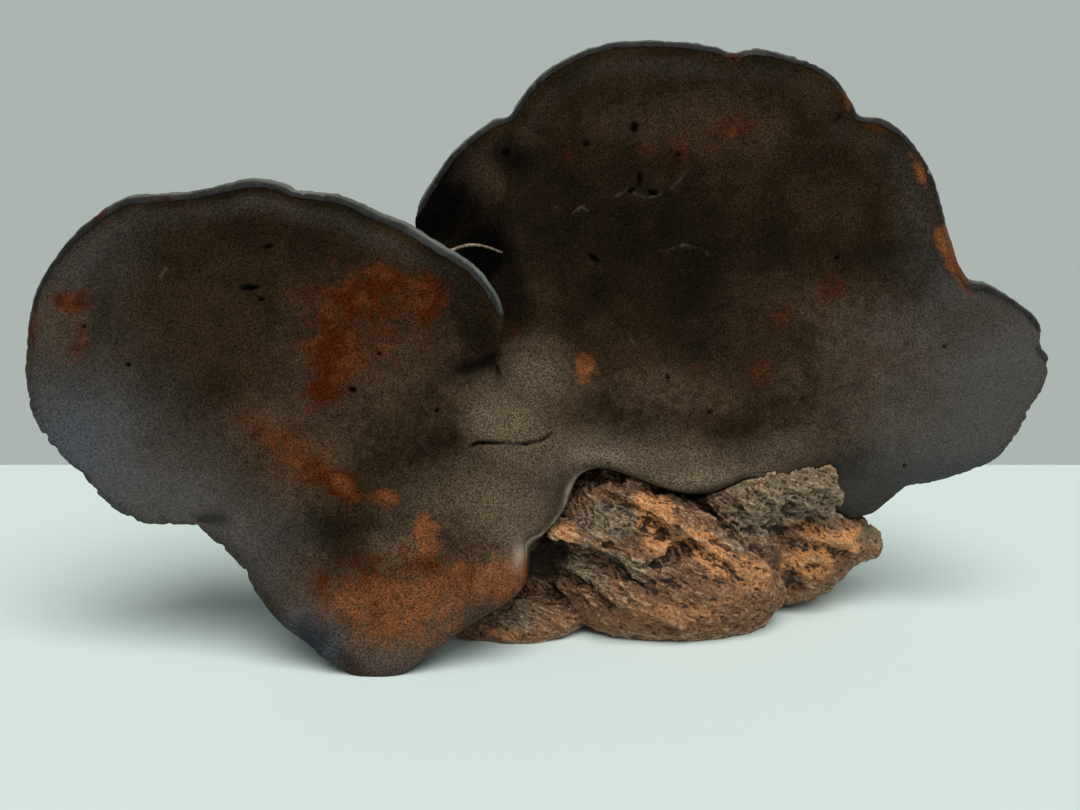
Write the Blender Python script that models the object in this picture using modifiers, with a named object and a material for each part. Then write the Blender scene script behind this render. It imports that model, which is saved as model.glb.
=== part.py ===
"""Bracket fungus: two fused fans standing on their torn woody base.

The pore face looks along -Y, the crust is behind, and Z is up. The origin is
the middle of the flat cut under the base. Lengths in the tables are in
millimetres.
"""

import math

import bmesh
import bpy
import numpy as np
from mathutils import Vector, noise

MM = 0.001

LEFT_HUB = (-88.0, 62.0)
RIGHT_HUB = (-4.0, 80.0)
HUB_THICKNESS = (40.0, 60.0)
LEFT_LEAN = (-64.5, 0.207)
LEFT_FLARE = (-5.0, -80.0, 70.0, 45.0, 45.0)
RIGHT_LEAN = (-14.3, 0.093)
RIGHT_FLARE = (-23.0, 10.0, 58.0, 70.0, 40.0)
SADDLE = (-75.0, -15.0)
BACK_TAPER = 1.5
MARGIN_SWELL = 1.4
RIM_STEP = 2.6
FRONT_ROWS = 26
CAP_ROWS = 8
BACK_ROWS = 26
BRACKET_VOXEL = 1.9
BRACKET_RATIO = 0.064
BASE_VOXEL = 1.6
BASE_RATIO = 0.058
SEAT_GAP = 0.9

# Margin of the fused fans, clockwise from the tip of the foot as seen from
# the front: x, y, z, thickness of the margin, share of the way from the left
# hub to the right hub that this stretch grew from.
MARGIN = (
    (-93, -65, -3, 24, 0.0),
    (-106, -65, 3, 22, 0.0),
    (-119, -64, 12, 18, 0.0),
    (-130, -62, 22, 16, 0.0),
    (-139, -60, 37, 14, 0.0),
    (-149, -58, 46, 13, 0.0),
    (-154, -57, 50, 12, 0.0),
    (-165, -56, 50, 12, 0.0),
    (-175, -55, 51, 12, 0.0),
    (-186, -54, 58, 12, 0.0),
    (-194, -52, 67, 11, 0.0),
    (-203, -50, 75, 11, 0.0),
    (-210, -48, 84, 11, 0.0),
    (-213, -46, 97, 11, 0.0),
    (-213, -44, 110, 11, 0.0),
    (-211, -42, 124, 10, 0.0),
    (-206, -40, 135, 10, 0.0),
    (-198, -38, 146, 10, 0.0),
    (-189, -36, 154, 10, 0.0),
    (-179, -34, 160, 10, 0.0),
    (-168, -33, 161, 10, 0.0),
    (-157, -32, 162, 10, 0.0),
    (-147, -31, 164, 10, 0.0),
    (-138, -30, 166, 11, 0.0),
    (-129, -30, 165, 11, 0.0),
    (-120, -30, 162, 11, 0.0),
    (-110, -31, 161, 11, 0.0),
    (-100, -32, 158, 11, 0.0),
    (-93, -33, 154, 11, 0.02),
    (-84, -34, 151, 12, 0.04),
    (-76, -36, 146, 12, 0.07),
    (-69, -38, 142, 12, 0.10),
    (-61, -40, 137, 12, 0.15),
    (-54, -42, 129, 12, 0.20),
    (-50, -43, 120, 12, 0.28),
    (-50, -42, 112, 13, 0.38),
    (-53, -36, 107, 14, 0.50),
    (-60, -20, 109, 14, 0.64),
    (-71, -5, 121, 13, 0.80),
    (-79, 4, 135, 12, 0.92),
    (-84, 8, 147, 11, 1.0),
    (-83, 9, 157, 10, 1.0),
    (-78, 9, 166, 10, 1.0),
    (-69, 8, 178, 9, 1.0),
    (-59, 7, 186, 9, 1.0),
    (-52, 6, 190, 9, 1.0),
    (-48, 5, 190, 9, 1.0),
    (-44, 6, 197, 9, 1.0),
    (-37, 6, 205, 9, 1.0),
    (-26, 6, 212, 9, 1.0),
    (-11, 6, 217, 9, 1.0),
    (4, 6, 218, 9, 1.0),
    (18, 6, 217, 9, 1.0),
    (29, 5, 215, 9, 1.0),
    (35, 5, 213, 9, 1.0),
    (42, 5, 215, 9, 1.0),
    (53, 4, 213, 9, 1.0),
    (65, 4, 209, 9, 1.0),
    (73, 3, 203, 9, 1.0),
    (79, 3, 195, 9, 1.0),
    (81, 2, 190, 9, 1.0),
    (88, 2, 190, 9, 1.0),
    (96, 1, 186, 9, 1.0),
    (103, 0, 178, 9, 1.0),
    (109, 0, 168, 9, 1.0),
    (113, 0, 157, 9, 1.0),
    (117, 0, 145, 9, 1.0),
    (121, 0, 135, 10, 1.0),
    (125, 0, 130, 10, 1.0),
    (131, -1, 129, 10, 1.0),
    (140, -2, 124, 10, 1.0),
    (149, -3, 117, 10, 1.0),
    (152, -4, 111, 10, 1.0),
    (151, -4, 106, 10, 1.0),
    (155, -5, 101, 10, 1.0),
    (154, -5, 91, 11, 1.0),
    (150, -5, 83, 11, 1.0),
    (145, -5, 72, 12, 1.0),
    (138, -5, 63, 12, 1.0),
    (127, -4, 57, 13, 1.0),
    (112, -3, 52, 15, 1.0),
    (105, -3, 51, 18, 1.0),
    (98, -2, 45, 24, 1.0),
    (91, -2, 39, 30, 1.0),
    (83, -2, 38, 36, 1.0),
    (76, -6, 47, 42, 1.0),
    (70, -13, 59, 48, 1.0),
    (57, -21, 62, 54, 1.0),
    (43, -26, 60, 56, 1.0),
    (32, -29, 57, 58, 1.0),
    (21, -31, 55, 58, 0.98),
    (10, -32, 57, 58, 0.92),
    (-1, -33, 59, 58, 0.84),
    (-12, -34, 63, 56, 0.76),
    (-21, -36, 64, 54, 0.66),
    (-26, -39, 59, 50, 0.52),
    (-30, -44, 51, 44, 0.36),
    (-36, -51, 45, 38, 0.22),
    (-41, -56, 41, 34, 0.12),
    (-41, -59, 33, 30, 0.06),
    (-46, -61, 26, 28, 0.03),
    (-54, -62, 21, 26, 0.0),
    (-61, -63, 17, 26, 0.0),
    (-68, -64, 12, 26, 0.0),
    (-76, -65, 6, 26, 0.0),
    (-84, -65, 0, 25, 0.0),
)

# Places where the fans ran together smoothly: x, z, radius.
SOFT_SPOTS = (
    (-88.0, 62.0, 14.0),
    (-50.0, 72.0, 20.0),
    (-22.0, 78.0, 18.0),
    (2.0, 80.0, 16.0),
)

# Growth zones on the crust: place between hub (0) and margin (1), height.
GROWTH_ZONES = (
    (0.95, 1.2),
    (0.87, 1.8),
    (0.76, 1.2),
    (0.66, 2.4),
    (0.52, 1.6),
    (0.38, 2.6),
    (0.22, 2.0),
)

# Lumps of the torn base: centre, half sizes, turn about the depth axis.
LUMPS = (
    ((12, -7, 20), (47, 33, 31), 4),
    ((-36, 8, 22), (26, 24, 22), 0),
    ((-8, -10, 36), (26, 26, 26), -20),
    ((38, -4, 22), (20, 28, 22), 12),
    ((14, 18, 30), (50, 30, 36), 0),
    ((-44, -20, 4), (24, 15, 9), -4),
    ((-62, -24, 3), (9, 8, 6), 0),
    ((-27, -31, 42), (10, 8, 5), 12),
    ((16, -22, 42), (16, 12, 9), 35),
    ((34, -18, 34), (18, 12, 7), 30),
    ((60, 12, 28), (30, 24, 27), 4),
    ((76, 12, 27), (18, 18, 16), -24),
    ((91, 10, 26), (9, 9, 8), -10),
    ((52, 2, 48), (20, 20, 14), 10),
)


def clear_scene():
    """Remove what the scene holds at the start."""
    for item in list(bpy.data.objects):
        bpy.data.objects.remove(item, do_unlink=True)


def collection(name):
    """A new collection linked to the scene."""
    made = bpy.data.collections.new(name)
    bpy.context.scene.collection.children.link(made)
    return made


def material(name, colour, roughness):
    """A plain Principled material."""
    made = bpy.data.materials.new(name)
    made.use_nodes = True
    shader = made.node_tree.nodes["Principled BSDF"]
    shader.inputs["Base Color"].default_value = (*colour, 1.0)
    shader.inputs["Roughness"].default_value = roughness
    shader.inputs["Metallic"].default_value = 0.0
    return made


def add_object(name, mesh_data, home):
    """An object of the mesh, linked to the collection."""
    made = bpy.data.objects.new(name, mesh_data)
    home.objects.link(made)
    return made


def only(item):
    """Make the object the one that is selected and active."""
    for other in bpy.context.selected_objects:
        other.select_set(False)
    item.select_set(True)
    bpy.context.view_layer.objects.active = item


def applied(item, kind, **settings):
    """Add a modifier with the settings and apply it."""
    only(item)
    step = item.modifiers.new(kind.title(), kind)
    for key, value in settings.items():
        setattr(step, key, value)
    bpy.ops.object.modifier_apply(modifier=step.name)


def spline_samples(points, step):
    """Points every step along a closed Catmull-Rom curve through the points."""
    table = np.array(points, float)
    count = len(table)
    samples = []
    for i in range(count):
        p0, p1 = table[i - 1], table[i]
        p2, p3 = table[(i + 1) % count], table[(i + 2) % count]
        length = np.linalg.norm((p2 - p1)[:3])
        pieces = max(1, round(length / step))
        for k in range(pieces):
            u = k / pieces
            samples.append(
                0.5
                * (
                    2 * p1
                    + (p2 - p0) * u
                    + (2 * p0 - 5 * p1 + 4 * p2 - p3) * u * u
                    + (3 * p1 - p0 - 3 * p2 + p3) * u**3
                )
            )
    return np.array(samples)


def zone_height(t):
    """Height of the growth zones at t, each with its steep side outwards."""
    height = 0.0
    for place, rise in GROWTH_ZONES:
        inward = (place - t) / 0.085
        if inward >= 0:
            height += rise * math.exp(-inward)
        else:
            height += rise * math.exp(-((inward / 0.18) ** 2))
    return height


def smooth_step(low, high, value):
    """Rise from 0 to 1 between low and high, level at both ends."""
    u = min(max((value - low) / (high - low), 0.0), 1.0)
    return u * u * (3.0 - 2.0 * u)


def fan_depth(lean, flare, x, z):
    """Depth of one fan's pore face: a leaning plane that comes forward at its foot."""
    depth, centre_x, centre_z, wide, high = flare
    spread = ((x - centre_x) / wide) ** 2 + ((z - centre_z) / high) ** 2
    return lean[0] + lean[1] * z + depth * math.exp(-spread)


def pore_depth(x, z, share, t):
    """Depth of the pore face, one fan running into the other over the saddle."""
    by_place = smooth_step(*SADDLE, x)
    blend = by_place + (share - by_place) * smooth_step(0.35, 0.85, t)
    left = fan_depth(LEFT_LEAN, LEFT_FLARE, x, z)
    right = fan_depth(RIGHT_LEAN, RIGHT_FLARE, x, z)
    return left + (right - left) * blend, by_place


def fan_point(rim, row):
    """A point of the fans' skin, row by row from the pore side's hub to the crust's."""
    share = min(max(rim[4], 0.0), 1.0)
    hub = Vector(LEFT_HUB).lerp(Vector(RIGHT_HUB), share)
    thickness = rim[3]
    out = Vector((rim[0], rim[2])) - hub
    reach = out.length + (MARGIN_SWELL if thickness < 30 else 0.3)
    out.normalize()
    bulge = min(thickness * 0.5, 7.0 + thickness * 0.05)
    edge = hub + out * (reach - bulge)
    miss = rim[1] - pore_depth(edge.x, edge.y, share, 1.0)[0]
    if FRONT_ROWS < row < FRONT_ROWS + CAP_ROWS:
        angle = math.pi * (row - FRONT_ROWS) / CAP_ROWS
        power = 1.0 if thickness < 20 else 0.55
        side = math.copysign(abs(math.cos(angle)) ** power, math.cos(angle))
        edge += out * bulge * math.sin(angle) ** power
        return edge.x, rim[1] + thickness * 0.5 * (1.0 - side), edge.y
    if row <= FRONT_ROWS:
        t = row / FRONT_ROWS
    else:
        t = 1.0 - (row - FRONT_ROWS - CAP_ROWS) / BACK_ROWS
    place = hub.lerp(edge, t)
    depth, by_place = pore_depth(place.x, place.y, share, t)
    depth += miss * t**3
    if row > FRONT_ROWS:
        middle = HUB_THICKNESS[0] + (HUB_THICKNESS[1] - HUB_THICKNESS[0]) * by_place
        depth += thickness + (middle - thickness) * (1.0 - t**BACK_TAPER)
        depth += zone_height(t) * (1.0 if thickness < 20 else 0.3)
    return place.x, depth, place.y


def fans_mesh():
    """The fans as a sphere opened out: longitude runs round the margin, latitude over it."""
    rims = spline_samples(MARGIN, RIM_STEP)
    rows = FRONT_ROWS + CAP_ROWS + BACK_ROWS
    columns = len(rims)
    sphere = bmesh.new()
    bmesh.ops.create_uvsphere(sphere, u_segments=columns, v_segments=rows, radius=1.0)
    for vert in sphere.verts:
        row = round(math.acos(max(-1.0, min(1.0, vert.co.z))) / math.pi * rows)
        column = round(math.atan2(vert.co.y, vert.co.x) / math.tau * columns) % columns
        if row in (0, rows):
            rim = (0.0, 0.0, 0.0, 20.0, 0.5)
        else:
            rim = rims[column]
        vert.co = Vector(fan_point(rim, row)) * MM
    bmesh.ops.recalc_face_normals(sphere, faces=sphere.faces)
    made = bpy.data.meshes.new("bracket")
    sphere.to_mesh(made)
    sphere.free()
    return made


def roughen(item, height, size, stretch, turn):
    """Push the skin out and in by fractal noise, drawn out along one direction."""
    data = item.data
    cos_turn, sin_turn = math.cos(turn), math.sin(turn)
    moved = []
    for vert in data.vertices:
        x, y, z = vert.co / MM
        along = (x * cos_turn - z * sin_turn) / stretch
        across = x * sin_turn + z * cos_turn
        spot = Vector((along, y, across)) / size
        push = noise.fractal(spot, 0.9, 2.1, 3, noise_basis="PERLIN_ORIGINAL") * height
        moved.append(vert.co + vert.normal * push * MM)
    for vert, place in zip(data.vertices, moved):
        vert.co = place
    data.update()


def ease(item, spots, passes):
    """Smooth the skin round each spot (x, z, radius), where the two fans ran together."""
    group = item.vertex_groups.new(name="ease")
    for vert in item.data.vertices:
        x, z = vert.co.x / MM, vert.co.z / MM
        near = max(
            math.exp(-((x - spot[0]) ** 2 + (z - spot[1]) ** 2) / spot[2] ** 2)
            for spot in spots
        )
        if near > 0.02:
            group.add([vert.index], min(1.0, 1.6 * near), "REPLACE")
    applied(item, "SMOOTH", factor=0.9, iterations=passes, vertex_group="ease")
    item.vertex_groups.clear()


def add_fans(home):
    """The two fused fans, margin, crust and pore face in one."""
    fans = add_object("bracket", fans_mesh(), home)
    applied(fans, "REMESH", mode="VOXEL", voxel_size=BRACKET_VOXEL * MM)
    applied(fans, "SMOOTH", factor=0.5, iterations=3)
    ease(fans, SOFT_SPOTS, 40)
    roughen(fans, 0.7, 26.0, 1.0, 0.0)
    return fans


def add_lump(centre, halves, turn, home):
    """One rounded lump of the torn base."""
    bpy.ops.mesh.primitive_ico_sphere_add(subdivisions=4, radius=MM, location=(0, 0, 0))
    lump = bpy.context.active_object
    for owner in list(lump.users_collection):
        owner.objects.unlink(lump)
    home.objects.link(lump)
    lump.scale = halves
    lump.rotation_euler = (0.0, math.radians(turn), 0.0)
    lump.location = Vector(centre) * MM
    only(lump)
    bpy.ops.object.transform_apply(location=True, rotation=True, scale=True)
    return lump


def add_base(home):
    """The torn base, its lumps grown together."""
    lumps = [add_lump(*row, home) for row in LUMPS]
    only(lumps[0])
    for lump in lumps:
        lump.select_set(True)
    bpy.ops.object.join()
    base = bpy.context.active_object
    base.name = "woody_base"
    base.data.name = "woody_base"
    applied(base, "REMESH", mode="VOXEL", voxel_size=BASE_VOXEL * MM)
    applied(base, "SMOOTH", factor=0.5, iterations=4)
    roughen(base, 4.0, 18.0, 2.2, math.radians(24))
    roughen(base, 2.2, 7.0, 2.4, math.radians(32))
    applied(base, "DECIMATE", decimate_type="COLLAPSE", ratio=BASE_RATIO)
    return base


def drop_crumbs(item):
    """Keep the largest piece of the mesh and remove what a cut left loose."""
    mesh = bmesh.new()
    mesh.from_mesh(item.data)
    left = set(mesh.verts)
    pieces = []
    while left:
        piece = {left.pop()}
        edge = list(piece)
        while edge:
            near = {link.other_vert(vert) for vert in edge for link in vert.link_edges}
            edge = list(near & left)
            left -= near
            piece |= near
        pieces.append(piece)
    largest = max(pieces, key=len)
    crumbs = [vert for vert in mesh.verts if vert not in largest]
    bmesh.ops.delete(mesh, geom=crumbs, context="VERTS")
    mesh.to_mesh(item.data)
    mesh.free()


def add_ground(home):
    """The cutter whose top face is the plane the fungus stands on."""
    bpy.ops.mesh.primitive_cube_add(size=1.0, location=(0.0, 0.0, -0.03))
    ground = bpy.context.active_object
    for owner in list(ground.users_collection):
        owner.objects.unlink(ground)
    home.objects.link(ground)
    ground.name = "ground_cut"
    ground.scale = (0.6, 0.5, 0.06)
    only(ground)
    bpy.ops.object.transform_apply(location=True, rotation=False, scale=True)
    ground.display_type = "WIRE"
    ground.hide_render = True
    return ground


def add_fitting_cutter(fans, home):
    """A copy of the fans, larger by the gap, that cuts their seat in the base."""
    cutter = add_object("fans_cut", fans.data.copy(), home)
    applied(cutter, "DISPLACE", strength=SEAT_GAP * MM, mid_level=0.0)
    applied(cutter, "DECIMATE", decimate_type="COLLAPSE", ratio=2.0 * BRACKET_RATIO)
    cutter.display_type = "WIRE"
    cutter.hide_render = True
    return cutter


def main():
    """Build the bracket fungus."""
    clear_scene()
    parts = collection("bracket_fungus")
    cutters = collection("cutters")
    fans = add_fans(parts)
    base = add_base(parts)
    ground = add_ground(cutters)
    fitting = add_fitting_cutter(fans, cutters)
    applied(fans, "DECIMATE", decimate_type="COLLAPSE", ratio=BRACKET_RATIO)
    applied(base, "BOOLEAN", operation="DIFFERENCE", object=fitting, solver="EXACT")
    for item in (fans, base):
        applied(item, "BOOLEAN", operation="DIFFERENCE", object=ground, solver="EXACT")
        drop_crumbs(item)
        only(item)
        bpy.ops.object.shade_smooth()
    fans.data.materials.clear()
    fans.data.materials.append(material("fungus_crust", (0.055, 0.036, 0.027), 0.62))
    base.data.materials.clear()
    base.data.materials.append(material("torn_wood", (0.30, 0.13, 0.055), 0.85))


main()
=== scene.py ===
"""Dressed model of a dried bracket fungus standing on its torn woody base.

The pore face looks along -Y and Z is up. Sizes in the classes are in
millimetres, and meshes are written in metres.
"""

from __future__ import annotations

import logging
import math
from collections.abc import Callable
from dataclasses import dataclass
from enum import Enum

import bmesh
import bpy
import numpy as np
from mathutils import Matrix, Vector
from mathutils.bvhtree import BVHTree

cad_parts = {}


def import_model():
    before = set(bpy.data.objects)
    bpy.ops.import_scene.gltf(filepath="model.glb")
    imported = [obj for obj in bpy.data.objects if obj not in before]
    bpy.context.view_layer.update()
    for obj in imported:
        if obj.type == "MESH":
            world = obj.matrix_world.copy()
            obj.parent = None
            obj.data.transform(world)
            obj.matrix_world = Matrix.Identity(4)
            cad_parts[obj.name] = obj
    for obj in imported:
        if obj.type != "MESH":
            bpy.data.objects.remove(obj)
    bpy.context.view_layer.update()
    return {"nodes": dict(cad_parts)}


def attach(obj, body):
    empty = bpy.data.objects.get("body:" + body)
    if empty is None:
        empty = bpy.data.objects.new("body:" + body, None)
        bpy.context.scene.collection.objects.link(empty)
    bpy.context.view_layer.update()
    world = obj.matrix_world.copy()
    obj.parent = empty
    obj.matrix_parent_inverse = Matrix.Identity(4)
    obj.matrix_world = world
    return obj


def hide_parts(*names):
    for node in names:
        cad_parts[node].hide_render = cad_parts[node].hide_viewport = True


MM = 0.001
LOG = logging.getLogger("bracket_fungus")

Point = tuple[float, float, float]
Colour = tuple[float, float, float]


class Step(Enum):
    """Modifiers that finish a mesh."""

    REMESH = "REMESH"
    SMOOTH = "SMOOTH"
    DECIMATE = "DECIMATE"
    DISPLACE = "DISPLACE"
    BOOLEAN = "BOOLEAN"


class Slot(Enum):
    """Material slots of the part."""

    CRUST = "fungus_crust"
    TORN = "torn_wood"


def smooth_step(low: float, high: float, value: np.ndarray) -> np.ndarray:
    """Rise from 0 to 1 between low and high, level at both ends.

    Args:
        low: Where the rise starts.
        high: Where the rise ends.
        value: Values to map.

    Returns:
        The mapped values.
    """
    u = np.clip((value - low) / (high - low), 0.0, 1.0)
    return u * u * (3.0 - 2.0 * u)


def bell(gap: np.ndarray, width: float) -> np.ndarray:
    """1 where the gap is 0, falling away over the width on both sides."""
    return np.exp(-((gap / width) ** 2))


def distance(spots: np.ndarray, place: Point) -> np.ndarray:
    """Distance from each point to one place."""
    return np.linalg.norm(spots - np.array(place), axis=1)


# Numbers that scatter the noise's lattice, and how its keys are stirred.
SCATTER = (73856093, 19349663, 83492791)
SEED_SCATTER = 2654435761
STIRS = ((13, 1274126177), (15, 668265263))
KEY_BITS = 0x7FFFFFFF
SLOPE_BITS = 0x3FF


@dataclass(frozen=True)
class Grain:
    """Repeatable natural unevenness, read at points in millimetres."""

    size: float
    seed: int = 0
    octaves: int = 4
    gain: float = 0.5

    def lattice(self, spots: np.ndarray, seed: int) -> np.ndarray:
        """Smooth noise between about -1 and 1 on a unit lattice.

        Args:
            spots: Points, one row each.
            seed: Number that picks the pattern.

        Returns:
            One value a point.
        """
        cell = np.floor(spots).astype(np.int64)
        part = spots - cell
        ease = part * part * part * (part * (part * 6.0 - 15.0) + 10.0)
        total = np.zeros(len(spots))
        for corner in range(8):
            step = np.array([corner & 1, corner >> 1 & 1, corner >> 2 & 1])
            key = (cell + step) @ np.array(SCATTER) + seed * SEED_SCATTER
            for shift, factor in STIRS:
                key = (key ^ (key >> shift)) * factor & KEY_BITS
            slopes = np.stack([key >> shift & SLOPE_BITS for shift in (0, 10, 20)], axis=1)
            slopes = slopes / (0.5 * SLOPE_BITS) - 1.0
            weight = np.prod(np.where(step == 1, ease, 1.0 - ease), axis=1)
            total += weight * np.einsum("ij,ij->i", slopes, part - step)
        return total * 1.3

    def layered(
        self, spots: np.ndarray, shape: Callable[[np.ndarray], np.ndarray], step: float
    ) -> np.ndarray:
        """Layers of noise, each finer and weaker than the one before.

        Args:
            spots: Points in millimetres.
            shape: What is made of each layer.
            step: How many times finer each layer is.

        Returns:
            One value a point.
        """
        total = np.zeros(len(spots))
        height, scale, full = 1.0, 1.0 / self.size, 0.0
        for octave in range(self.octaves):
            total += height * shape(self.lattice(spots * scale, self.seed + octave))
            full += height
            height *= self.gain
            scale *= step
        return total / full

    def rough(self, spots: np.ndarray) -> np.ndarray:
        """Layered noise, most of it within -1 and 1."""
        return self.layered(spots, lambda sheet: sheet, 2.03)

    def ridged(self, spots: np.ndarray) -> np.ndarray:
        """Layered sharp crests, 0 in the valleys and 1 on the crests."""
        return self.layered(spots, lambda sheet: (1.0 - np.minimum(1.0, np.abs(sheet) * 2.2)) ** 2, 2.11)


def drawn_out(spots: np.ndarray, turn: float, stretch: float, depth: float = 1.0) -> np.ndarray:
    """Coordinates in which a pattern is drawn out along a line in the X-Z plane.

    Args:
        spots: Points in millimetres.
        turn: Fall of the line to the right, in degrees.
        stretch: How many times longer the pattern is along the line.
        depth: How many times longer it is in depth.

    Returns:
        The turned and scaled points.
    """
    angle = math.radians(turn)
    along = spots[:, 0] * math.cos(angle) - spots[:, 2] * math.sin(angle)
    across = spots[:, 0] * math.sin(angle) + spots[:, 2] * math.cos(angle)
    return np.stack([along / stretch, spots[:, 1] / depth, across], axis=1)


def deselect_all() -> None:
    """Leave nothing selected."""
    for item in list(bpy.context.selected_objects):
        item.select_set(False)


def make_active(item: bpy.types.Object) -> None:
    """Make the object the one that is selected and active.

    Args:
        item: The object.
    """
    deselect_all()
    item.select_set(True)
    bpy.context.view_layer.objects.active = item


def apply_step(item: bpy.types.Object, kind: Step, **settings: object) -> None:
    """Add a modifier with the settings and apply it.

    Args:
        item: The object.
        kind: Which modifier.
        settings: Its values.
    """
    make_active(item)
    step = item.modifiers.new(kind.name.title(), kind.value)
    for key, value in settings.items():
        setattr(step, key, value)
    bpy.ops.object.modifier_apply(modifier=step.name)


def read_spots(item: bpy.types.Object) -> np.ndarray:
    """The vertices of the object in millimetres, one row each.

    Args:
        item: The object.

    Returns:
        The points.
    """
    flat = np.empty(len(item.data.vertices) * 3)
    item.data.vertices.foreach_get("co", flat)
    return flat.reshape(-1, 3) / MM


def read_normals(item: bpy.types.Object) -> np.ndarray:
    """The vertex normals of the object, one row each.

    Args:
        item: The object.

    Returns:
        The normals.
    """
    flat = np.empty(len(item.data.vertices) * 3)
    item.data.vertex_normals.foreach_get("vector", flat)
    return flat.reshape(-1, 3)


def write_spots(item: bpy.types.Object, spots: np.ndarray) -> None:
    """Move the vertices of the object to points in millimetres."""
    item.data.vertices.foreach_set("co", (spots * MM).ravel())
    item.data.update()


def write_mask(item: bpy.types.Object, name: str, values: np.ndarray) -> None:
    """Keep one number a vertex on the mesh, for the materials to read.

    Args:
        item: The object.
        name: The attribute's name.
        values: One value a vertex.
    """
    layer = item.data.attributes.get(name)
    if layer is None:
        layer = item.data.attributes.new(name, "FLOAT", "POINT")
    layer.data.foreach_set("value", np.clip(values, 0.0, 1.0).astype(np.float32))


def read_mask(item: bpy.types.Object, name: str) -> np.ndarray:
    """The numbers that the mesh keeps under this name, one a vertex.

    Args:
        item: The object.
        name: The attribute's name.

    Returns:
        The numbers.
    """
    values = np.empty(len(item.data.vertices), dtype=np.float32)
    item.data.attributes[name].data.foreach_get("value", values)
    return values.astype(float)


def spread(item: bpy.types.Object, values: np.ndarray, passes: int) -> np.ndarray:
    """Average the values with those of the neighbouring vertices.

    Args:
        item: The object.
        values: One value, or one row, a vertex.
        passes: How many times to average.

    Returns:
        The averaged values.
    """
    ends = np.empty(len(item.data.edges) * 2, dtype=np.int64)
    item.data.edges.foreach_get("vertices", ends)
    ends = ends.reshape(-1, 2)
    count = np.bincount(ends.ravel(), minlength=len(item.data.vertices)).astype(float)
    columns = values.reshape(len(values), -1).astype(float)
    for _ in range(passes):
        summed = np.stack(
            [
                np.bincount(ends[:, 0], column[ends[:, 1]], len(count))
                + np.bincount(ends[:, 1], column[ends[:, 0]], len(count))
                for column in columns.T
            ],
            axis=1,
        )
        columns = 0.5 * columns + 0.5 * summed / count[:, None]
    return columns.reshape(values.shape)


def path_distance(spots: np.ndarray, path: tuple[Point, ...]) -> tuple[np.ndarray, np.ndarray]:
    """Distance from each point to a line through the path's points.

    Args:
        spots: Points in millimetres.
        path: The line's points.

    Returns:
        The distances, and how far along the line the nearest place is, 0 to 1.
    """
    knots = np.array(path, float)
    best = np.full(len(spots), 1e9)
    place = np.zeros(len(spots))
    for i, (a, b) in enumerate(zip(knots[:-1], knots[1:])):
        run = b - a
        u = np.clip((spots - a) @ run / max(run @ run, 1e-9), 0.0, 1.0)
        gap = np.linalg.norm(spots - a - u[:, None] * run, axis=1)
        near = gap < best
        best = np.where(near, gap, best)
        place = np.where(near, (i + u) / (len(knots) - 1), place)
    return best, place


# Block that the pieces are cut off flat with, in metres.
GROUND_BLOCK = (0.6, 0.5, 0.06)


def select_vertices(item: bpy.types.Object, chosen: np.ndarray) -> None:
    """Select these vertices of the mesh, and the faces all of whose corners are chosen.

    Args:
        item: The object, in object mode.
        chosen: One truth value a vertex.
    """
    mesh = item.data
    mesh.vertices.foreach_set("select", chosen)
    starts = np.empty(len(mesh.polygons), dtype=np.int64)
    mesh.polygons.foreach_get("loop_start", starts)
    corners = np.empty(len(mesh.loops), dtype=np.int64)
    mesh.loops.foreach_get("vertex_index", corners)
    faces = np.logical_and.reduceat(chosen[corners], starts)
    mesh.polygons.foreach_set("select", faces)
    ends = np.empty(len(mesh.edges) * 2, dtype=np.int64)
    mesh.edges.foreach_get("vertices", ends)
    mesh.edges.foreach_set("select", chosen[ends.reshape(-1, 2)].all(axis=1))
    bpy.context.tool_settings.mesh_select_mode = (False, False, True)


def cut_flat(item: bpy.types.Object) -> None:
    """Cut the piece off flat at the height it stands on.

    Args:
        item: The piece's object.
    """
    deselect_all()
    long, deep, high = GROUND_BLOCK
    bpy.ops.mesh.primitive_cube_add(size=1.0, location=(0.0, 0.0, -0.5 * high))
    ground = bpy.context.active_object
    ground.scale = (long, deep, high)
    bpy.ops.object.transform_apply(location=True, rotation=True, scale=True)
    apply_step(item, Step.BOOLEAN, operation="DIFFERENCE", object=ground, solver="EXACT")
    bpy.data.objects.remove(ground, do_unlink=True)


def drop_crumbs(item: bpy.types.Object) -> None:
    """Keep the largest connected piece of the mesh.

    Args:
        item: The piece's object.
    """
    mesh = bmesh.new()
    mesh.from_mesh(item.data)
    left = set(mesh.verts)
    pieces = []
    while left:
        piece = {left.pop()}
        edge = list(piece)
        while edge:
            near = {link.other_vert(vert) for vert in edge for link in vert.link_edges}
            edge = list(near & left)
            left -= near
            piece |= near
        pieces.append(piece)
    largest = max(pieces, key=len)
    loose = [vert for vert in mesh.verts if vert not in largest]
    bmesh.ops.delete(mesh, geom=loose, context="VERTS")
    mesh.to_mesh(item.data)
    mesh.free()


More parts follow.
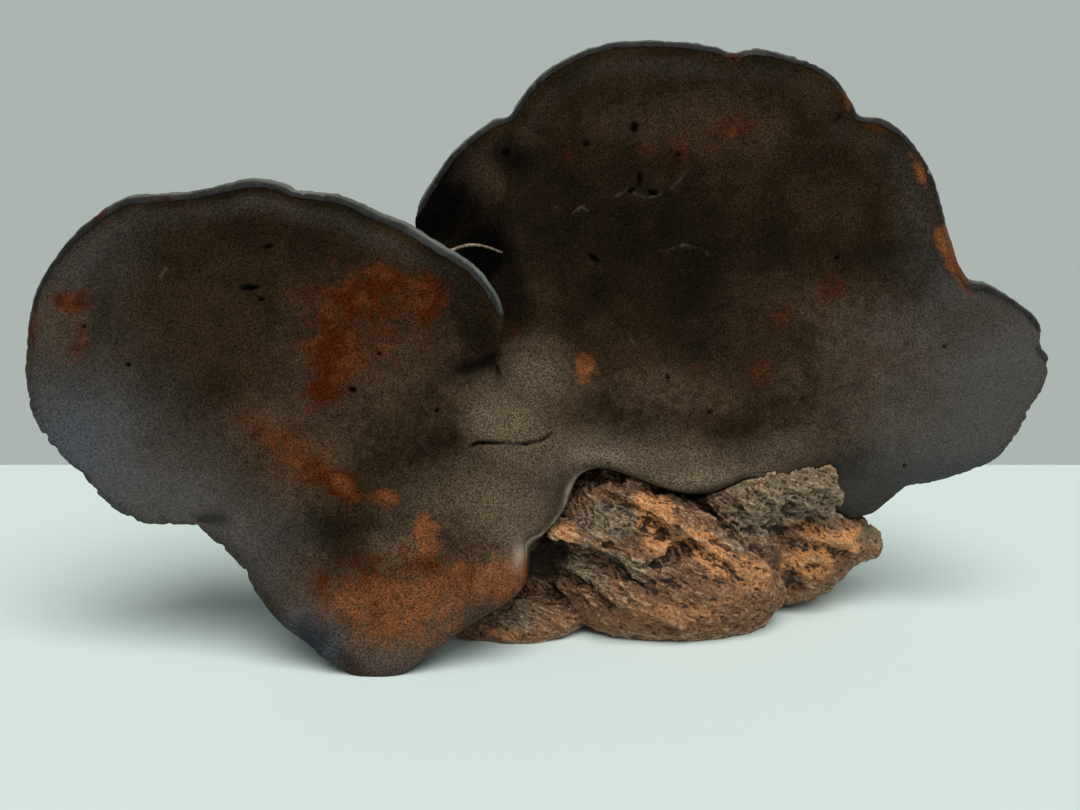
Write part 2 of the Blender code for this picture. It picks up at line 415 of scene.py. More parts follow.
# Margin of the fused fans, clockwise from the tip of the foot as seen from the front:
# x, y, z, thickness, share of the way from the left hub to the right hub.
MARGIN = (
    (-93, -65, -3, 24, 0.0), (-106, -65, 3, 22, 0.0), (-119, -64, 12, 18, 0.0),
    (-130, -62, 22, 16, 0.0), (-139, -60, 37, 14, 0.0), (-149, -58, 46, 13, 0.0),
    (-154, -57, 50, 12, 0.0), (-165, -56, 50, 12, 0.0), (-175, -55, 51, 12, 0.0),
    (-186, -54, 58, 12, 0.0), (-194, -52, 67, 11, 0.0), (-203, -50, 75, 11, 0.0),
    (-210, -48, 84, 11, 0.0), (-213, -46, 97, 11, 0.0), (-213, -44, 110, 11, 0.0),
    (-211, -42, 124, 10, 0.0), (-206, -40, 135, 10, 0.0), (-198, -38, 146, 10, 0.0),
    (-189, -36, 154, 10, 0.0), (-179, -34, 160, 10, 0.0), (-168, -33, 161, 10, 0.0),
    (-157, -32, 162, 10, 0.0), (-147, -31, 164, 10, 0.0), (-138, -30, 166, 11, 0.0),
    (-129, -30, 165, 11, 0.0), (-120, -30, 162, 11, 0.0), (-110, -31, 161, 11, 0.0),
    (-100, -32, 158, 11, 0.0), (-93, -33, 154, 11, 0.02), (-84, -34, 151, 12, 0.04),
    (-76, -36, 146, 12, 0.07), (-69, -38, 142, 12, 0.10), (-61, -40, 137, 12, 0.15),
    (-54, -42, 129, 12, 0.20), (-50, -43, 120, 12, 0.28), (-50, -42, 112, 13, 0.38),
    (-53, -36, 107, 14, 0.50), (-60, -20, 109, 14, 0.64), (-71, -5, 121, 13, 0.80),
    (-79, 4, 135, 12, 0.92), (-84, 8, 147, 11, 1.0), (-83, 9, 157, 10, 1.0), (-78, 9, 166, 10, 1.0),
    (-69, 8, 178, 9, 1.0), (-59, 7, 186, 9, 1.0), (-52, 6, 190, 9, 1.0), (-48, 5, 190, 9, 1.0),
    (-44, 6, 197, 9, 1.0), (-37, 6, 205, 9, 1.0), (-26, 6, 212, 9, 1.0), (-11, 6, 217, 9, 1.0),
    (4, 6, 218, 9, 1.0), (18, 6, 217, 9, 1.0), (29, 5, 215, 9, 1.0), (35, 5, 213, 9, 1.0),
    (42, 5, 215, 9, 1.0), (53, 4, 213, 9, 1.0), (65, 4, 209, 9, 1.0), (73, 3, 203, 9, 1.0),
    (79, 3, 195, 9, 1.0), (81, 2, 190, 9, 1.0), (88, 2, 190, 9, 1.0), (96, 1, 186, 9, 1.0),
    (103, 0, 178, 9, 1.0), (109, 0, 168, 9, 1.0), (113, 0, 157, 9, 1.0), (117, 0, 145, 9, 1.0),
    (121, 0, 135, 10, 1.0), (125, 0, 130, 10, 1.0), (131, -1, 129, 10, 1.0),
    (140, -2, 124, 10, 1.0), (149, -3, 117, 10, 1.0), (152, -4, 111, 10, 1.0),
    (151, -4, 106, 10, 1.0), (155, -5, 101, 10, 1.0), (154, -5, 91, 11, 1.0),
    (150, -5, 83, 11, 1.0), (145, -5, 72, 12, 1.0), (138, -5, 63, 12, 1.0), (127, -4, 57, 13, 1.0),
    (112, -3, 52, 15, 1.0), (105, -3, 51, 18, 1.0), (98, -2, 45, 24, 1.0), (91, -2, 39, 30, 1.0),
    (83, -2, 38, 36, 1.0), (76, -6, 47, 42, 1.0), (70, -13, 59, 48, 1.0), (57, -21, 62, 54, 1.0),
    (43, -26, 60, 56, 1.0), (32, -29, 55, 58, 1.0), (21, -31, 53, 58, 0.98),
    (10, -32, 55, 58, 0.92), (-1, -33, 59, 58, 0.84), (-12, -34, 63, 56, 0.76),
    (-21, -36, 64, 54, 0.66), (-24, -39, 60, 50, 0.52), (-27, -44, 52, 44, 0.36),
    (-34, -51, 45, 38, 0.22), (-40, -56, 41, 34, 0.12), (-41, -59, 33, 30, 0.06),
    (-46, -61, 26, 28, 0.03), (-54, -62, 21, 26, 0.0), (-61, -63, 17, 26, 0.0),
    (-68, -64, 12, 26, 0.0), (-76, -65, 6, 26, 0.0), (-84, -65, 0, 25, 0.0),
)

# Growth zones on the crust: place between hub (0) and margin (1), height.
GROWTH_ZONES = (
    (0.95, 1.2),
    (0.87, 1.8),
    (0.76, 1.2),
    (0.66, 2.4),
    (0.52, 1.6),
    (0.38, 2.6),
    (0.22, 2.0),
)

# Places where the fans ran together smoothly: x, z, radius.
SOFT_SPOTS = (
    (-88.0, 62.0, 14.0),
    (-50.0, 72.0, 20.0),
    (-22.0, 78.0, 18.0),
    (2.0, 80.0, 16.0),
    (-50.0, 95.0, 8.5),
)

# The thick lip over the base.
LIP = (
    (83, 2, 38), (70, -10, 59), (57, -18, 62), (32, -24, 57), (10, -26, 57), (-21, -30, 64),
    (-30, -38, 51), (-41, -50, 41), (-41, -53, 33), (-54, -56, 21), (-76, -58, 6),
)

# Lumps of the torn base: centre, half sizes, turn about the depth axis.
LUMPS = (
    ((12, -7, 20), (47, 33, 31), 4),
    ((-36, 8, 22), (26, 24, 22), 0),
    ((-8, -10, 36), (26, 26, 26), -20),
    ((38, -4, 22), (20, 28, 22), 12),
    ((14, 18, 30), (50, 30, 36), 0),
    ((-44, -20, 4), (24, 15, 9), -4),
    ((-62, -24, 3), (9, 8, 6), 0),
    ((-27, -31, 42), (10, 8, 5), 12),
    ((16, -22, 42), (16, 12, 9), 35),
    ((34, -18, 34), (18, 12, 7), 30),
    ((60, 12, 28), (30, 24, 27), 4),
    ((76, 12, 27), (18, 18, 16), -24),
    ((91, 10, 26), (9, 9, 8), -10),
    ((52, 2, 48), (20, 20, 14), 10),
    ((58, -16, 55), (16, 9, 10), 4),
    ((40, -20, 52), (15, 9, 9), 12),
    ((71, -15, 55), (4, 7, 12), -6),
    ((47, -20, 55), (11, 8, 9.5), 10),
)


@dataclass(frozen=True)
class Pit:
    """A small hollow in the skin."""

    place: Point
    half: tuple[float, float]
    depth: float
    turn: float = 0.0


@dataclass(frozen=True)
class Patch:
    """A soft-edged patch of another tone on the pore face."""

    place: Point
    half: tuple[float, float]
    strength: float = 1.0
    turn: float = 0.0


def patch_level(spots: np.ndarray, patch: Patch | Pit) -> np.ndarray:
    """How far out each point lies, 0 at the patch's middle and 1 at its rim.

    Args:
        spots: Points in millimetres.
        patch: The patch or pit.

    Returns:
        The level at each point.
    """
    away = spots - np.array(patch.place, float)
    angle = math.radians(patch.turn)
    along = away[:, 0] * math.cos(angle) + away[:, 2] * math.sin(angle)
    across = away[:, 2] * math.cos(angle) - away[:, 0] * math.sin(angle)
    wide, high = patch.half
    return np.sqrt((along / wide) ** 2 + (across / high) ** 2 + (away[:, 1] / 14.0) ** 4)


def patches_mask(
    spots: np.ndarray, patches: tuple[Patch, ...], edge: Grain, fray: float = 0.55, soft: float = 0.7
) -> np.ndarray:
    """Tone mask of all the patches, their rims broken up by noise.

    Args:
        spots: Points in millimetres.
        patches: The patches.
        edge: Noise that frays the rims.
        fray: How far the noise moves the rims.
        soft: Width of the rims against the patch's size.

    Returns:
        Mask between 0 and 1.
    """
    noise = fray * edge.rough(spots)
    bare = np.ones(len(spots))
    for patch in patches:
        level = patch_level(spots, patch) + noise
        bare *= 1.0 - patch.strength * (1.0 - smooth_step(1.15 - soft, 1.15, level))
    return 1.0 - bare


RUST_PATCHES = (
    Patch((-96, -41, 122), (38, 24), 0.40),
    Patch((-118, -50, 76), (34, 16), 0.30, -35),
    Patch((-80, -60, 26), (44, 20), 0.35, 8),
    Patch((24, 4, 186), (44, 14), 0.22, 4),
    Patch((30, -14, 96), (40, 10), 0.22),
    Patch((-198, -41, 126), (9, 6), 0.85),
    Patch((-194, -43, 112), (7, 9), 0.55),
    Patch((-92, -38, 131), (13, 9), 1.0, 20),
    Patch((-76, -39, 127), (9, 14), 0.9),
    Patch((-104, -39, 127), (9, 7), 0.8),
    Patch((-107, -43, 110), (9, 12), 1.0, 20),
    Patch((-112, -46, 97), (9, 7), 0.9),
    Patch((-132, -49, 82), (14, 8), 0.55, -30),
    Patch((-118, -52, 72), (15, 8), 0.7, -35),
    Patch((-105, -55, 65), (12, 6), 0.9, -30),
    Patch((-89, -56, 60), (8, 5), 0.75),
    Patch((-76, -58, 48), (6, 10), 0.85, 10),
    Patch((-50, -60, 34), (15, 12), 1.0, 25),
    Patch((-46, -60, 32), (10, 9), 1.0, 25),
    Patch((-100, -41, 118), (30, 18), 0.35),
    Patch((-108, -45, 104), (13, 16), 0.8, 15),
    Patch((-84, -60, 40), (16, 8), 0.5, -10),
    Patch((-70, -60, 30), (18, 10), 0.8, 15),
    Patch((-92, -61, 26), (26, 14), 0.85, -10),
    Patch((-80, -62, 15), (20, 9), 0.35),
    Patch((-21, -14, 98), (6.5, 9.5), 0.8, -30),
    Patch((53, -5, 117), (7, 9), 0.7),
    Patch((72, -3, 127), (8, 10), 0.68),
    Patch((35, 3, 186), (12, 6), 0.5, 8),
    Patch((45, -12, 98), (9, 6), 0.5, 40),
    Patch((90, -6, 101), (5, 4), 0.4),
    Patch((22, -13, 98), (5, 4), 0.45),
    Patch((35, 8, 213), (3.5, 2.2), 1.0),
    Patch((80, 3, 199), (8, 12), 1.0, 30),
    Patch((118, 0, 140), (5, 21), 0.95, 27),
    Patch((86, 3, 187), (7, 3), 0.55, -20),
    Patch((104, 0, 171), (4, 11), 0.8, 22),
    Patch((115, 0, 142), (4, 12), 0.85, 22),
    Patch((-189, -33, 155), (7, 3), 0.75, 40),
    Patch((-166, -32, 160), (6, 2.5), 0.6, 8),
    Patch((-211, -42, 116), (3, 16), 0.55),
    Patch((-59, -3, 135), (7, 14), 0.5),
    Patch((-47, -17, 112), (6, 7), 0.5),
    Patch((-26, 3, 179), (6, 9), 0.35),
    Patch((87, -7, 99), (3, 2.5), 0.45),
    Patch((12, 2, 178), (22, 8), 0.3),
)

# Where the rust is fresh and bright rather than dull.
BRIGHT_PATCHES = (
    Patch((-21, -14, 98), (9, 12), 0.9, -30),
    Patch((53, -5, 117), (8, 10), 0.45),
    Patch((72, -3, 127), (9, 11), 0.35),
    Patch((45, -12, 98), (9, 7), 0.3),
    Patch((80, 3, 199), (10, 13), 1.0, 30),
    Patch((104, 0, 171), (7, 14), 1.0, 22),
    Patch((118, 0, 140), (8, 25), 1.0, 27),
    Patch((-48, -60, 33), (22, 17), 1.0, 25),
    Patch((-76, -58, 48), (10, 13), 0.9, 10),
    Patch((-89, -56, 60), (10, 7), 0.7),
    Patch((-104, -55, 65), (9, 6), 0.7, -30),
    Patch((-74, -39, 128), (7, 12), 0.35),
    Patch((-90, -38, 131), (9, 6), 0.3, 20),
    Patch((-198, -42, 122), (13, 14), 0.5),
)

# Pale tan places: pale dust, and painted sheen where the saddle between the fans and the top of the lip
# face up into the light.
PALE_AND_SHEEN_PATCHES = (
    Patch((-16, -36, 69), (15, 5), 0.75, -5),
    Patch((20, -30, 60), (30, 6), 0.8, 8),
    Patch((88, -6, 100), (46, 52), 0.25),
    Patch((-48, -36, 84), (36, 26), 0.85),
    Patch((-36, -20, 97), (24, 22), 0.6, 10),
    Patch((-48, -46, 58), (30, 18), 0.6),
    Patch((-8, -28, 68), (52, 16), 0.55, 2),
    Patch((30, -26, 64), (40, 14), 0.3, 5),
    Patch((56, -22, 70), (34, 14), 0.35, 8),
    Patch((-72, -52, 58), (30, 22), 0.45),
    Patch((-84, -58, 42), (17, 9), 0.6, -8),
    Patch((10, -14, 90), (60, 26), 0.15),
    Patch((-46, -55, 42), (16, 12), 0.5),
)

WARM_PATCHES = (
    Patch((-78, -60, 24), (44, 26), 0.9, 10),
    Patch((-84, -62, 8), (30, 14), 0.9),
    Patch((-110, -60, 30), (14, 22), 0.5, 40),
    Patch((-100, -44, 100), (44, 40), 0.35),
    Patch((-120, -52, 74), (34, 18), 0.5, -35),
    Patch((50, -6, 118), (40, 26), 0.3),
    Patch((20, -14, 92), (50, 14), 0.3),
    Patch((20, 4, 188), (50, 16), 0.3),
    Patch((-60, 0, 170), (12, 16), 0.4),
    Patch((-200, -42, 120), (14, 20), 0.4),
)

EATEN_PATCHES = (
    Patch((-78, -60, 26), (34, 12), 1.0, 8),
    Patch((-88, -61, 18), (18, 12), 0.8),
    Patch((-118, -53, 72), (26, 9), 0.6, -35),
    Patch((-50, -60, 30), (12, 8), 0.5, 25),
    Patch((12, 2, 178), (20, 7), 0.5),
    Patch((45, -12, 98), (10, 7), 0.4, 40),
)

# Grey places: a grey bloom on the pore face, and painted sheen where the fans curve away at their left and
# right edges.
GREY_AND_SHEEN_PATCHES = (
    Patch((-168, -52, 56), (62, 46), 0.85, -25),
    Patch((-222, -46, 92), (60, 76), 0.7),
    Patch((-188, -40, 146), (46, 26), 0.4, 30),
    Patch((-178, -44, 112), (54, 62), 0.15),
    Patch((-128, -60, 34), (28, 40), 0.6, 35),
    Patch((-84, -63, 3), (20, 11), 0.5),
    Patch((-112, -62, 15), (15, 11), 0.55, -40),
    Patch((158, -4, 92), (88, 84), 0.85),
    Patch((130, -6, 84), (100, 70), 0.5),
    Patch((108, -8, 56), (76, 42), 0.7, 12),
    Patch((104, -2, 160), (18, 44), 0.35, 15),
    Patch((10, 4, 208), (70, 9), 0.2),
)

# Painted sheen: a bluish grey reflection of the pale table where the fans turn down and away, at the left
# edge, the foot and the right fan's lower margin.
COOL_SHEEN_PATCHES = (
    Patch((-205, -48, 72), (40, 32), 0.9),
    Patch((-114, -62, 11), (18, 13), 1.0, -40),
    Patch((-84, -62, 3), (24, 8), 0.3),
    Patch((122, -6, 56), (40, 16), 0.5),
)

# Black and darker places: sooty stains on the foot, painted shade in the gap between the fans and under the
# rounded end of the left fan, painted shade on the right fan's left lobe, which turns away from the light,
# and a darker upper middle on the right fan.
SOOT_AND_SHADE_PATCHES = (
    Patch((-59, -42, 103.5), (11, 3.6), 0.85, 14),
    Patch((-57, -41, 113), (10, 13), 0.55),
    Patch((-113, -62, 14), (12, 8), 0.55, -40),
    Patch((-102, -62, 6), (9, 4.5), 0.55, -40),
    Patch((-76, 6, 158), (24, 44), 1.0),
    Patch((-58, 0, 138), (16, 28), 1.0, 10),
    Patch((-46, -8, 122), (12, 18), 0.8, 10),
    Patch((-48, 2, 176), (12, 10), 0.7),
    Patch((-20, -2, 150), (40, 40), 0.5),
    Patch((24, -4, 140), (50, 46), 0.45),
    Patch((40, -10, 104), (44, 24), 0.3),
    Patch((10, 4, 196), (70, 14), 0.1),
    Patch((-140, -40, 150), (56, 14), 0.25),
)

# Stretches of the margin that are chipped into small teeth.
CHIPPED_PATCHES = (
    Patch((-190, -44, 66), (26, 14), 1.0, -40),
    Patch((-164, -48, 46), (22, 9), 1.0, -20),
    Patch((-140, -52, 40), (18, 9), 1.0),
    Patch((-212, -40, 92), (8, 22), 0.6),
    Patch((110, -8, 54), (26, 9), 0.7, 20),
    Patch((150, 0, 88), (8, 26), 0.6, -10),
    Patch((-124, -30, 160), (40, 6), 0.45, 5),
    Patch((60, 4, 214), (40, 6), 0.35, -10),
)

# Where the gap between the two fans runs out.
CLEFT_END = (-51.0, -30.0, 105.0)

# The undercut below the rounded end of the left fan, at the end of the gap, darkened with painted shade.
UNDERCUT = (
    (-49, -34, 109), (-52, -38, 105.5), (-57, -42, 104), (-62, -43, 103), (-68, -45, 101),
)

# Short cracks that run in from the margin.
NICKS = (
    ((-78, -32, 147), (-77, -33, 143), (-74, -34, 141)),
    ((-72, -32, 142), (-73, -34, 138), (-74, -36, 133)),
    ((-50, -56, 42), (-53, -57, 44), (-58, -57, 45)),
    ((34, 6, 216), (35, 6, 211)),
    ((75, 3, 192), (72, 2, 188)),
    ((-49, 4, 186), (-48, 2, 180)),
    ((135, -8, 72), (128, -8, 74)),
)

PITS = (
    Pit((-137, -38, 130), (3.3, 0.9), 2.2, 4),
    Pit((-133, -39, 126), (1.1, 0.8), 1.6),
    Pit((-131, -35, 144), (2.0, 0.7), 1.6, 14),
    Pit((-101, -48, 96), (1.5, 1.0), 2.0),
    Pit((-178, -44, 104), (0.9, 0.8), 1.4),
    Pit((-193, -42, 117), (0.7, 0.7), 1.2),
    Pit((-2, 3, 187), (1.8, 2.0), 1.8),
    Pit((-20, 2, 181), (1.4, 1.2), 1.0),
    Pit((0, 2, 168), (0.9, 3.1), 1.8),
    Pit((-3, 1, 164), (1.7, 0.9), 1.4, 20),
    Pit((5, 1, 163), (2.4, 1.0), 1.6, -16),
    Pit((14, 1, 177), (1.2, 0.9), 1.0),
    Pit((-17, -1, 139), (3.0, 1.0), 1.3, -35),
    Pit((74, -2, 139), (0.9, 0.9), 1.5),
    Pit((25, -20, 84), (1.0, 0.9), 1.3),
    Pit((10, -15, 96), (0.9, 0.9), 1.3),
    Pit((101, -9, 61), (0.8, 1.1), 1.2),
    Pit((60, -12, 88), (0.8, 0.7), 1.0),
    Pit((72, -13, 55), (0.9, 0.7), 1.0),
    Pit((-72, -50, 89), (0.8, 0.8), 1.2),
    Pit((-50, 5, 178), (1.8, 1.6), 1.2),
    Pit((115, -5, 106), (1.1, 0.9), 0.5),
    Pit((-92, -45, 108), (0.9, 0.7), 1.0),
)

CRACK = (
    (-64, -48, 75), (-58, -45, 77), (-51, -40, 76), (-42, -34, 74.5), (-36, -31, 75.5),
    (-32, -28, 78),
)

# The pale edge of the lip, beside the base, where a painted highlight runs.
PALE_EDGE = (
    (-42, -58, 43), (-39, -57, 44), (-34, -52, 46), (-28, -45, 52), (-25, -40, 60), (-22, -38, 64),
)

SCRATCHES = (
    ((-16, 1, 173), (-12, 1, 176), (-7, 1, 178)),
    ((14, 1, 176), (17, 1, 172), (15.5, 1, 168), (12, 1, 165)),
    ((-9, 1, 161.5), (-4, 1, 164.5), (2, 1, 161), (8, 1, 162.5)),
    ((-26, 0, 147.5), (-24, 0, 152.5), (-20, 0, 150), (-18, 0, 144), (-22, 0, 142)),
    ((-25, 0, 155.5), (-22, 0, 158), (-19, 0, 156.5)),
    ((9, -1, 137.5), (11, -1, 142), (17, -1, 144), (24, -1, 142), (27, -1, 139)),
    ((23, -1, 135), (17, -2, 134), (11, -1, 136)),
    ((-33, 0, 150), (-30, 0, 154), (-31, 0, 158)),
    ((16, -8, 117), (24, -8, 119.5), (32, -7, 117)),
    ((-2, -9, 107), (-4, -8, 112)),
    ((-12, 0, 169), (-9, 1, 172), (-5, 1, 171)),
    ((-175, -38, 140), (-172.5, -38, 142), (-168, -38, 141), (-165.5, -38, 136.5), (-168, -38, 132.5)),
    ((-140, -38, 136.5), (-137.5, -37, 140), (-132.5, -36, 143), (-130, -36, 141.5)),
    ((-138, -36, 144.5), (-134.5, -36, 145.5)),
    ((-62, -50, 72), (-54, -46, 73), (-46, -40, 71.5)),
)


@dataclass(frozen=True)
class Tone:
    """A tone of the pore face, and the patches that have it."""

    name: str
    patches: tuple[Patch, ...]
    edge: Grain
    fray: float
    soft: float
    power: float = 1.0


TONES = (
    Tone("pale", PALE_AND_SHEEN_PATCHES, Grain(24.0, 21), 0.35, 1.1, 1.2),
    Tone("grey", GREY_AND_SHEEN_PATCHES, Grain(30.0, 31), 0.35, 1.15, 1.5),
    Tone("cool_sheen", COOL_SHEEN_PATCHES, Grain(16.0, 34), 0.35, 1.1),
    Tone("warm", WARM_PATCHES, Grain(16.0, 32), 0.5, 1.0),
    Tone("soot_and_shade", SOOT_AND_SHADE_PATCHES, Grain(14.0, 41), 0.5, 1.0),
    Tone("bright", BRIGHT_PATCHES, Grain(8.0, 33), 0.3, 0.9),
)


@dataclass(frozen=True)
class Cut:
    """A line cut into the skin, or raised where the depth is below 0."""

    width: float
    depth: float


@dataclass
class Skin:
    """The fans' skin while relief is worked into it, one value a vertex in each field."""

    spots: np.ndarray
    normals: np.ndarray
    calm: np.ndarray
    rim: np.ndarray
    near_rim: np.ndarray
    off_lip: np.ndarray
    front: np.ndarray
    back: np.ndarray
    turn: np.ndarray
    band: np.ndarray
    shown: np.ndarray
    lift: np.ndarray
    # Painted shade in the pits, crack, nicks, undercut, worm holes and groove.
    dark: np.ndarray

    def carve(self, cut: Cut, line: np.ndarray, shade: float) -> None:
        """Cut a line into the skin and darken it with painted shade.

        Args:
            cut: The line's width and depth.
            line: How far each point lies in the line, 0 to 1.
            shade: How dark its bottom is.
        """
        self.lift -= cut.depth * line
        self.dark = np.maximum(self.dark, shade * line)


@dataclass
class FusedFans:
    """The fungus: two fans grown into one, crust behind and pores in front."""

    left_hub: tuple[float, float] = (-88.0, 62.0)
    right_hub: tuple[float, float] = (-4.0, 80.0)
    hub_thickness: tuple[float, float] = (40.0, 60.0)
    left_lean: tuple[float, float] = (-64.5, 0.207)
    left_flare: tuple[float, ...] = (-5.0, -80.0, 70.0, 45.0, 45.0)
    right_lean: tuple[float, float] = (-14.3, 0.093)
    right_flare: tuple[float, ...] = (-23.0, 10.0, 58.0, 70.0, 40.0)
    saddle: tuple[float, float] = (-75.0, -15.0)
    growth_starts: tuple[tuple[float, float], ...] = ((-62.0, 52.0), (34.0, 48.0))
    back_taper: float = 1.5
    margin_swell: float = 1.4
    rim_step: float = 2.2
    front_rows: int = 30
    cap_rows: int = 10
    back_rows: int = 30
    voxel: float = 1.6
    rim_turn: float = 0.87
    rim_reach: float = 6.6
    rim_blur: float = 0.07
    band_end: tuple[float, float] = (9.0, 12.0)
    pitted_foot: Patch = Patch((-76, -60, 27), (36, 18), 1.0, 8)
    ripple_middle: Point = (23.0, -6.0, 112.0)
    ripple_radius: float = 20.0
    ripple_height: float = 0.10
    crack: Cut = Cut(0.65, 1.8)
    crack_step: float = 0.85
    notch_place: Point = (-38.5, -52.0, 42.5)
    notch: Cut = Cut(3.2, 2.6)
    blister: Pit = Pit((-44.0, -57.0, 40.0), (2.6, 5.0), -1.3, -14.0)
    nick: Cut = Cut(0.6, 0.9)
    undercut: Cut = Cut(1.9, 2.0)
    scratch: Cut = Cut(0.42, -0.2)
    groove: Cut = Cut(0.07, 0.42)

    def rims(self) -> np.ndarray:
        """Closely spaced points of the margin, on a smooth curve through its rows.

        Returns:
            One row a point: its place, the thickness there and the share.
        """
        table = np.array(MARGIN, float)
        count = len(table)
        samples = []
        for i in range(count):
            p0, p1 = table[i - 1], table[i]
            p2, p3 = table[(i + 1) % count], table[(i + 2) % count]
            pieces = max(1, round(np.linalg.norm((p2 - p1)[:3]) / self.rim_step))
            u = (np.arange(pieces) / pieces)[:, None]
            curve = (
                2 * p1
                + (p2 - p0) * u
                + (2 * p0 - 5 * p1 + 4 * p2 - p3) * u**2
                + (3 * p1 - p0 - 3 * p2 + p3) * u**3
            )
            samples.append(0.5 * curve)
        return np.concatenate(samples)

    def pore_depth(
        self, x: np.ndarray, z: np.ndarray, share: np.ndarray, t: float
    ) -> tuple[np.ndarray, np.ndarray]:
        """Depth of the pore face, one fan running into the other over the saddle.

        Args:
            x: Places along the length.
            z: Heights.
            share: Share of the way from the left hub to the right hub.
            t: Place between hub, 0, and margin, 1.

        Returns:
            The depths, and how far each place belongs to the right fan.
        """
        depths = []
        for lean, flare in ((self.left_lean, self.left_flare), (self.right_lean, self.right_flare)):
            swell, middle_x, middle_z, wide, high = flare
            away = ((x - middle_x) / wide) ** 2 + ((z - middle_z) / high) ** 2
            depths.append(lean[0] + lean[1] * z + swell * np.exp(-away))
        by_place = smooth_step(*self.saddle, x)
        reach = float(smooth_step(0.35, 0.85, np.array(t)))
        blend = by_place + (share - by_place) * reach
        return depths[0] + (depths[1] - depths[0]) * blend, by_place

    def zone_height(self, t: float) -> float:
        """Height of the growth zones, each with its steep side outwards.

        Args:
            t: Place between hub, 0, and margin, 1.

        Returns:
            The height in millimetres.
        """
        height = 0.0
        for place, rise in GROWTH_ZONES:
            inward = (place - t) / 0.085
            height += rise * math.exp(-inward if inward >= 0 else -((inward / 0.18) ** 2))
        return height

    def skin_row(self, rims: np.ndarray, row: int) -> np.ndarray:
        """One ring of the skin, counted from the pore side's hub to the crust's.

        Args:
            rims: Margin points.
            row: Number of the ring.

        Returns:
            The ring's points.
        """
        share = np.clip(rims[:, 4], 0.0, 1.0)
        thickness = rims[:, 3]
        left, right = np.array(self.left_hub), np.array(self.right_hub)
        hub = left + (right - left) * share[:, None]
        out = rims[:, [0, 2]] - hub
        reach = np.linalg.norm(out, axis=1)
        out /= reach[:, None]
        reach = reach + np.where(thickness < 30, self.margin_swell, 0.3)
        bulge = np.minimum(thickness * 0.5, 7.0 + thickness * 0.05)
        edge = hub + out * (reach - bulge)[:, None]
        miss = rims[:, 1] - self.pore_depth(edge[:, 0], edge[:, 1], share, 1.0)[0]
        if self.front_rows < row < self.front_rows + self.cap_rows:
            angle = math.pi * (row - self.front_rows) / self.cap_rows
            power = np.where(thickness < 20, 1.0, 0.55)
            side = math.copysign(1.0, math.cos(angle)) * abs(math.cos(angle)) ** power
            edge = edge + out * (bulge * math.sin(angle) ** power)[:, None]
            depth = rims[:, 1] + thickness * 0.5 * (1.0 - side)
            return np.stack([edge[:, 0], depth, edge[:, 1]], axis=1)
        if row <= self.front_rows:
            t = row / self.front_rows
        else:
            t = 1.0 - (row - self.front_rows - self.cap_rows) / self.back_rows
        place = hub + (edge - hub) * t
        depth, by_place = self.pore_depth(place[:, 0], place[:, 1], share, t)
        depth = depth + miss * t**3
        if row > self.front_rows:
            low, high = self.hub_thickness
            middle = low + (high - low) * by_place
            depth += thickness + (middle - thickness) * (1.0 - t**self.back_taper)
            depth += self.zone_height(t) * np.where(thickness < 20, 1.0, 0.3)
        return np.stack([place[:, 0], depth, place[:, 1]], axis=1)

    def open_sphere(self) -> bpy.types.Object:
        """A sphere opened out into the fans: longitude runs round the margin.

        Returns:
            The fans' first plain object.
        """
        rims = self.rims()
        rows = self.front_rows + self.cap_rows + self.back_rows
        deselect_all()
        bpy.ops.mesh.primitive_uv_sphere_add(segments=len(rims), ring_count=rows, radius=1.0)
        fans = bpy.context.active_object
        unit = read_spots(fans) * MM
        row_of = np.rint(np.arccos(np.clip(unit[:, 2], -1, 1)) / math.pi * rows).astype(int)
        turn = np.arctan2(unit[:, 1], unit[:, 0]) / math.tau * len(rims)
        column_of = np.rint(turn).astype(int) % len(rims)
        skin = np.stack([self.skin_row(rims, row) for row in range(rows + 1)])
        centre = np.array([[0.0, 0.0, 0.0, 20.0, 0.5]])
        skin[0], skin[rows] = self.skin_row(centre, 0), self.skin_row(centre, rows)
        write_spots(fans, skin[row_of, column_of])
        make_active(fans)
        bpy.ops.object.mode_set(mode="EDIT")
        bpy.ops.mesh.select_all(action="SELECT")
        bpy.ops.mesh.normals_make_consistent(inside=False)
        bpy.ops.object.mode_set(mode="OBJECT")
        return fans

    def ease(self, fans: bpy.types.Object, passes: int) -> None:
        """Smooth the skin where the two fans ran together.

        Args:
            fans: The fans' object.
            passes: How many times to average.
        """
        spots = read_spots(fans)
        near = np.zeros(len(spots))
        for x, z, radius in SOFT_SPOTS:
            away = (spots[:, 0] - x) ** 2 + (spots[:, 2] - z) ** 2
            near = np.maximum(near, np.exp(-away / radius**2))
        weight = np.minimum(1.0, 1.6 * near)[:, None]
        write_spots(fans, spots + (spread(fans, spots, passes) - spots) * weight)

    def margin_distance(self, spots: np.ndarray) -> np.ndarray:
        """Distance from each point to the middle of the nearest stretch of margin.

        Args:
            spots: Points in millimetres.

        Returns:
            One distance a point.
        """
        rims = self.rims()
        line = rims[:, :3].copy()
        line[:, 1] += np.minimum(rims[:, 3] * 0.5, 6.0)
        best = np.full(len(spots), 1e9)
        for point in line:
            np.minimum(best, ((spots - point) ** 2).sum(axis=1), out=best)
        return np.sqrt(best)

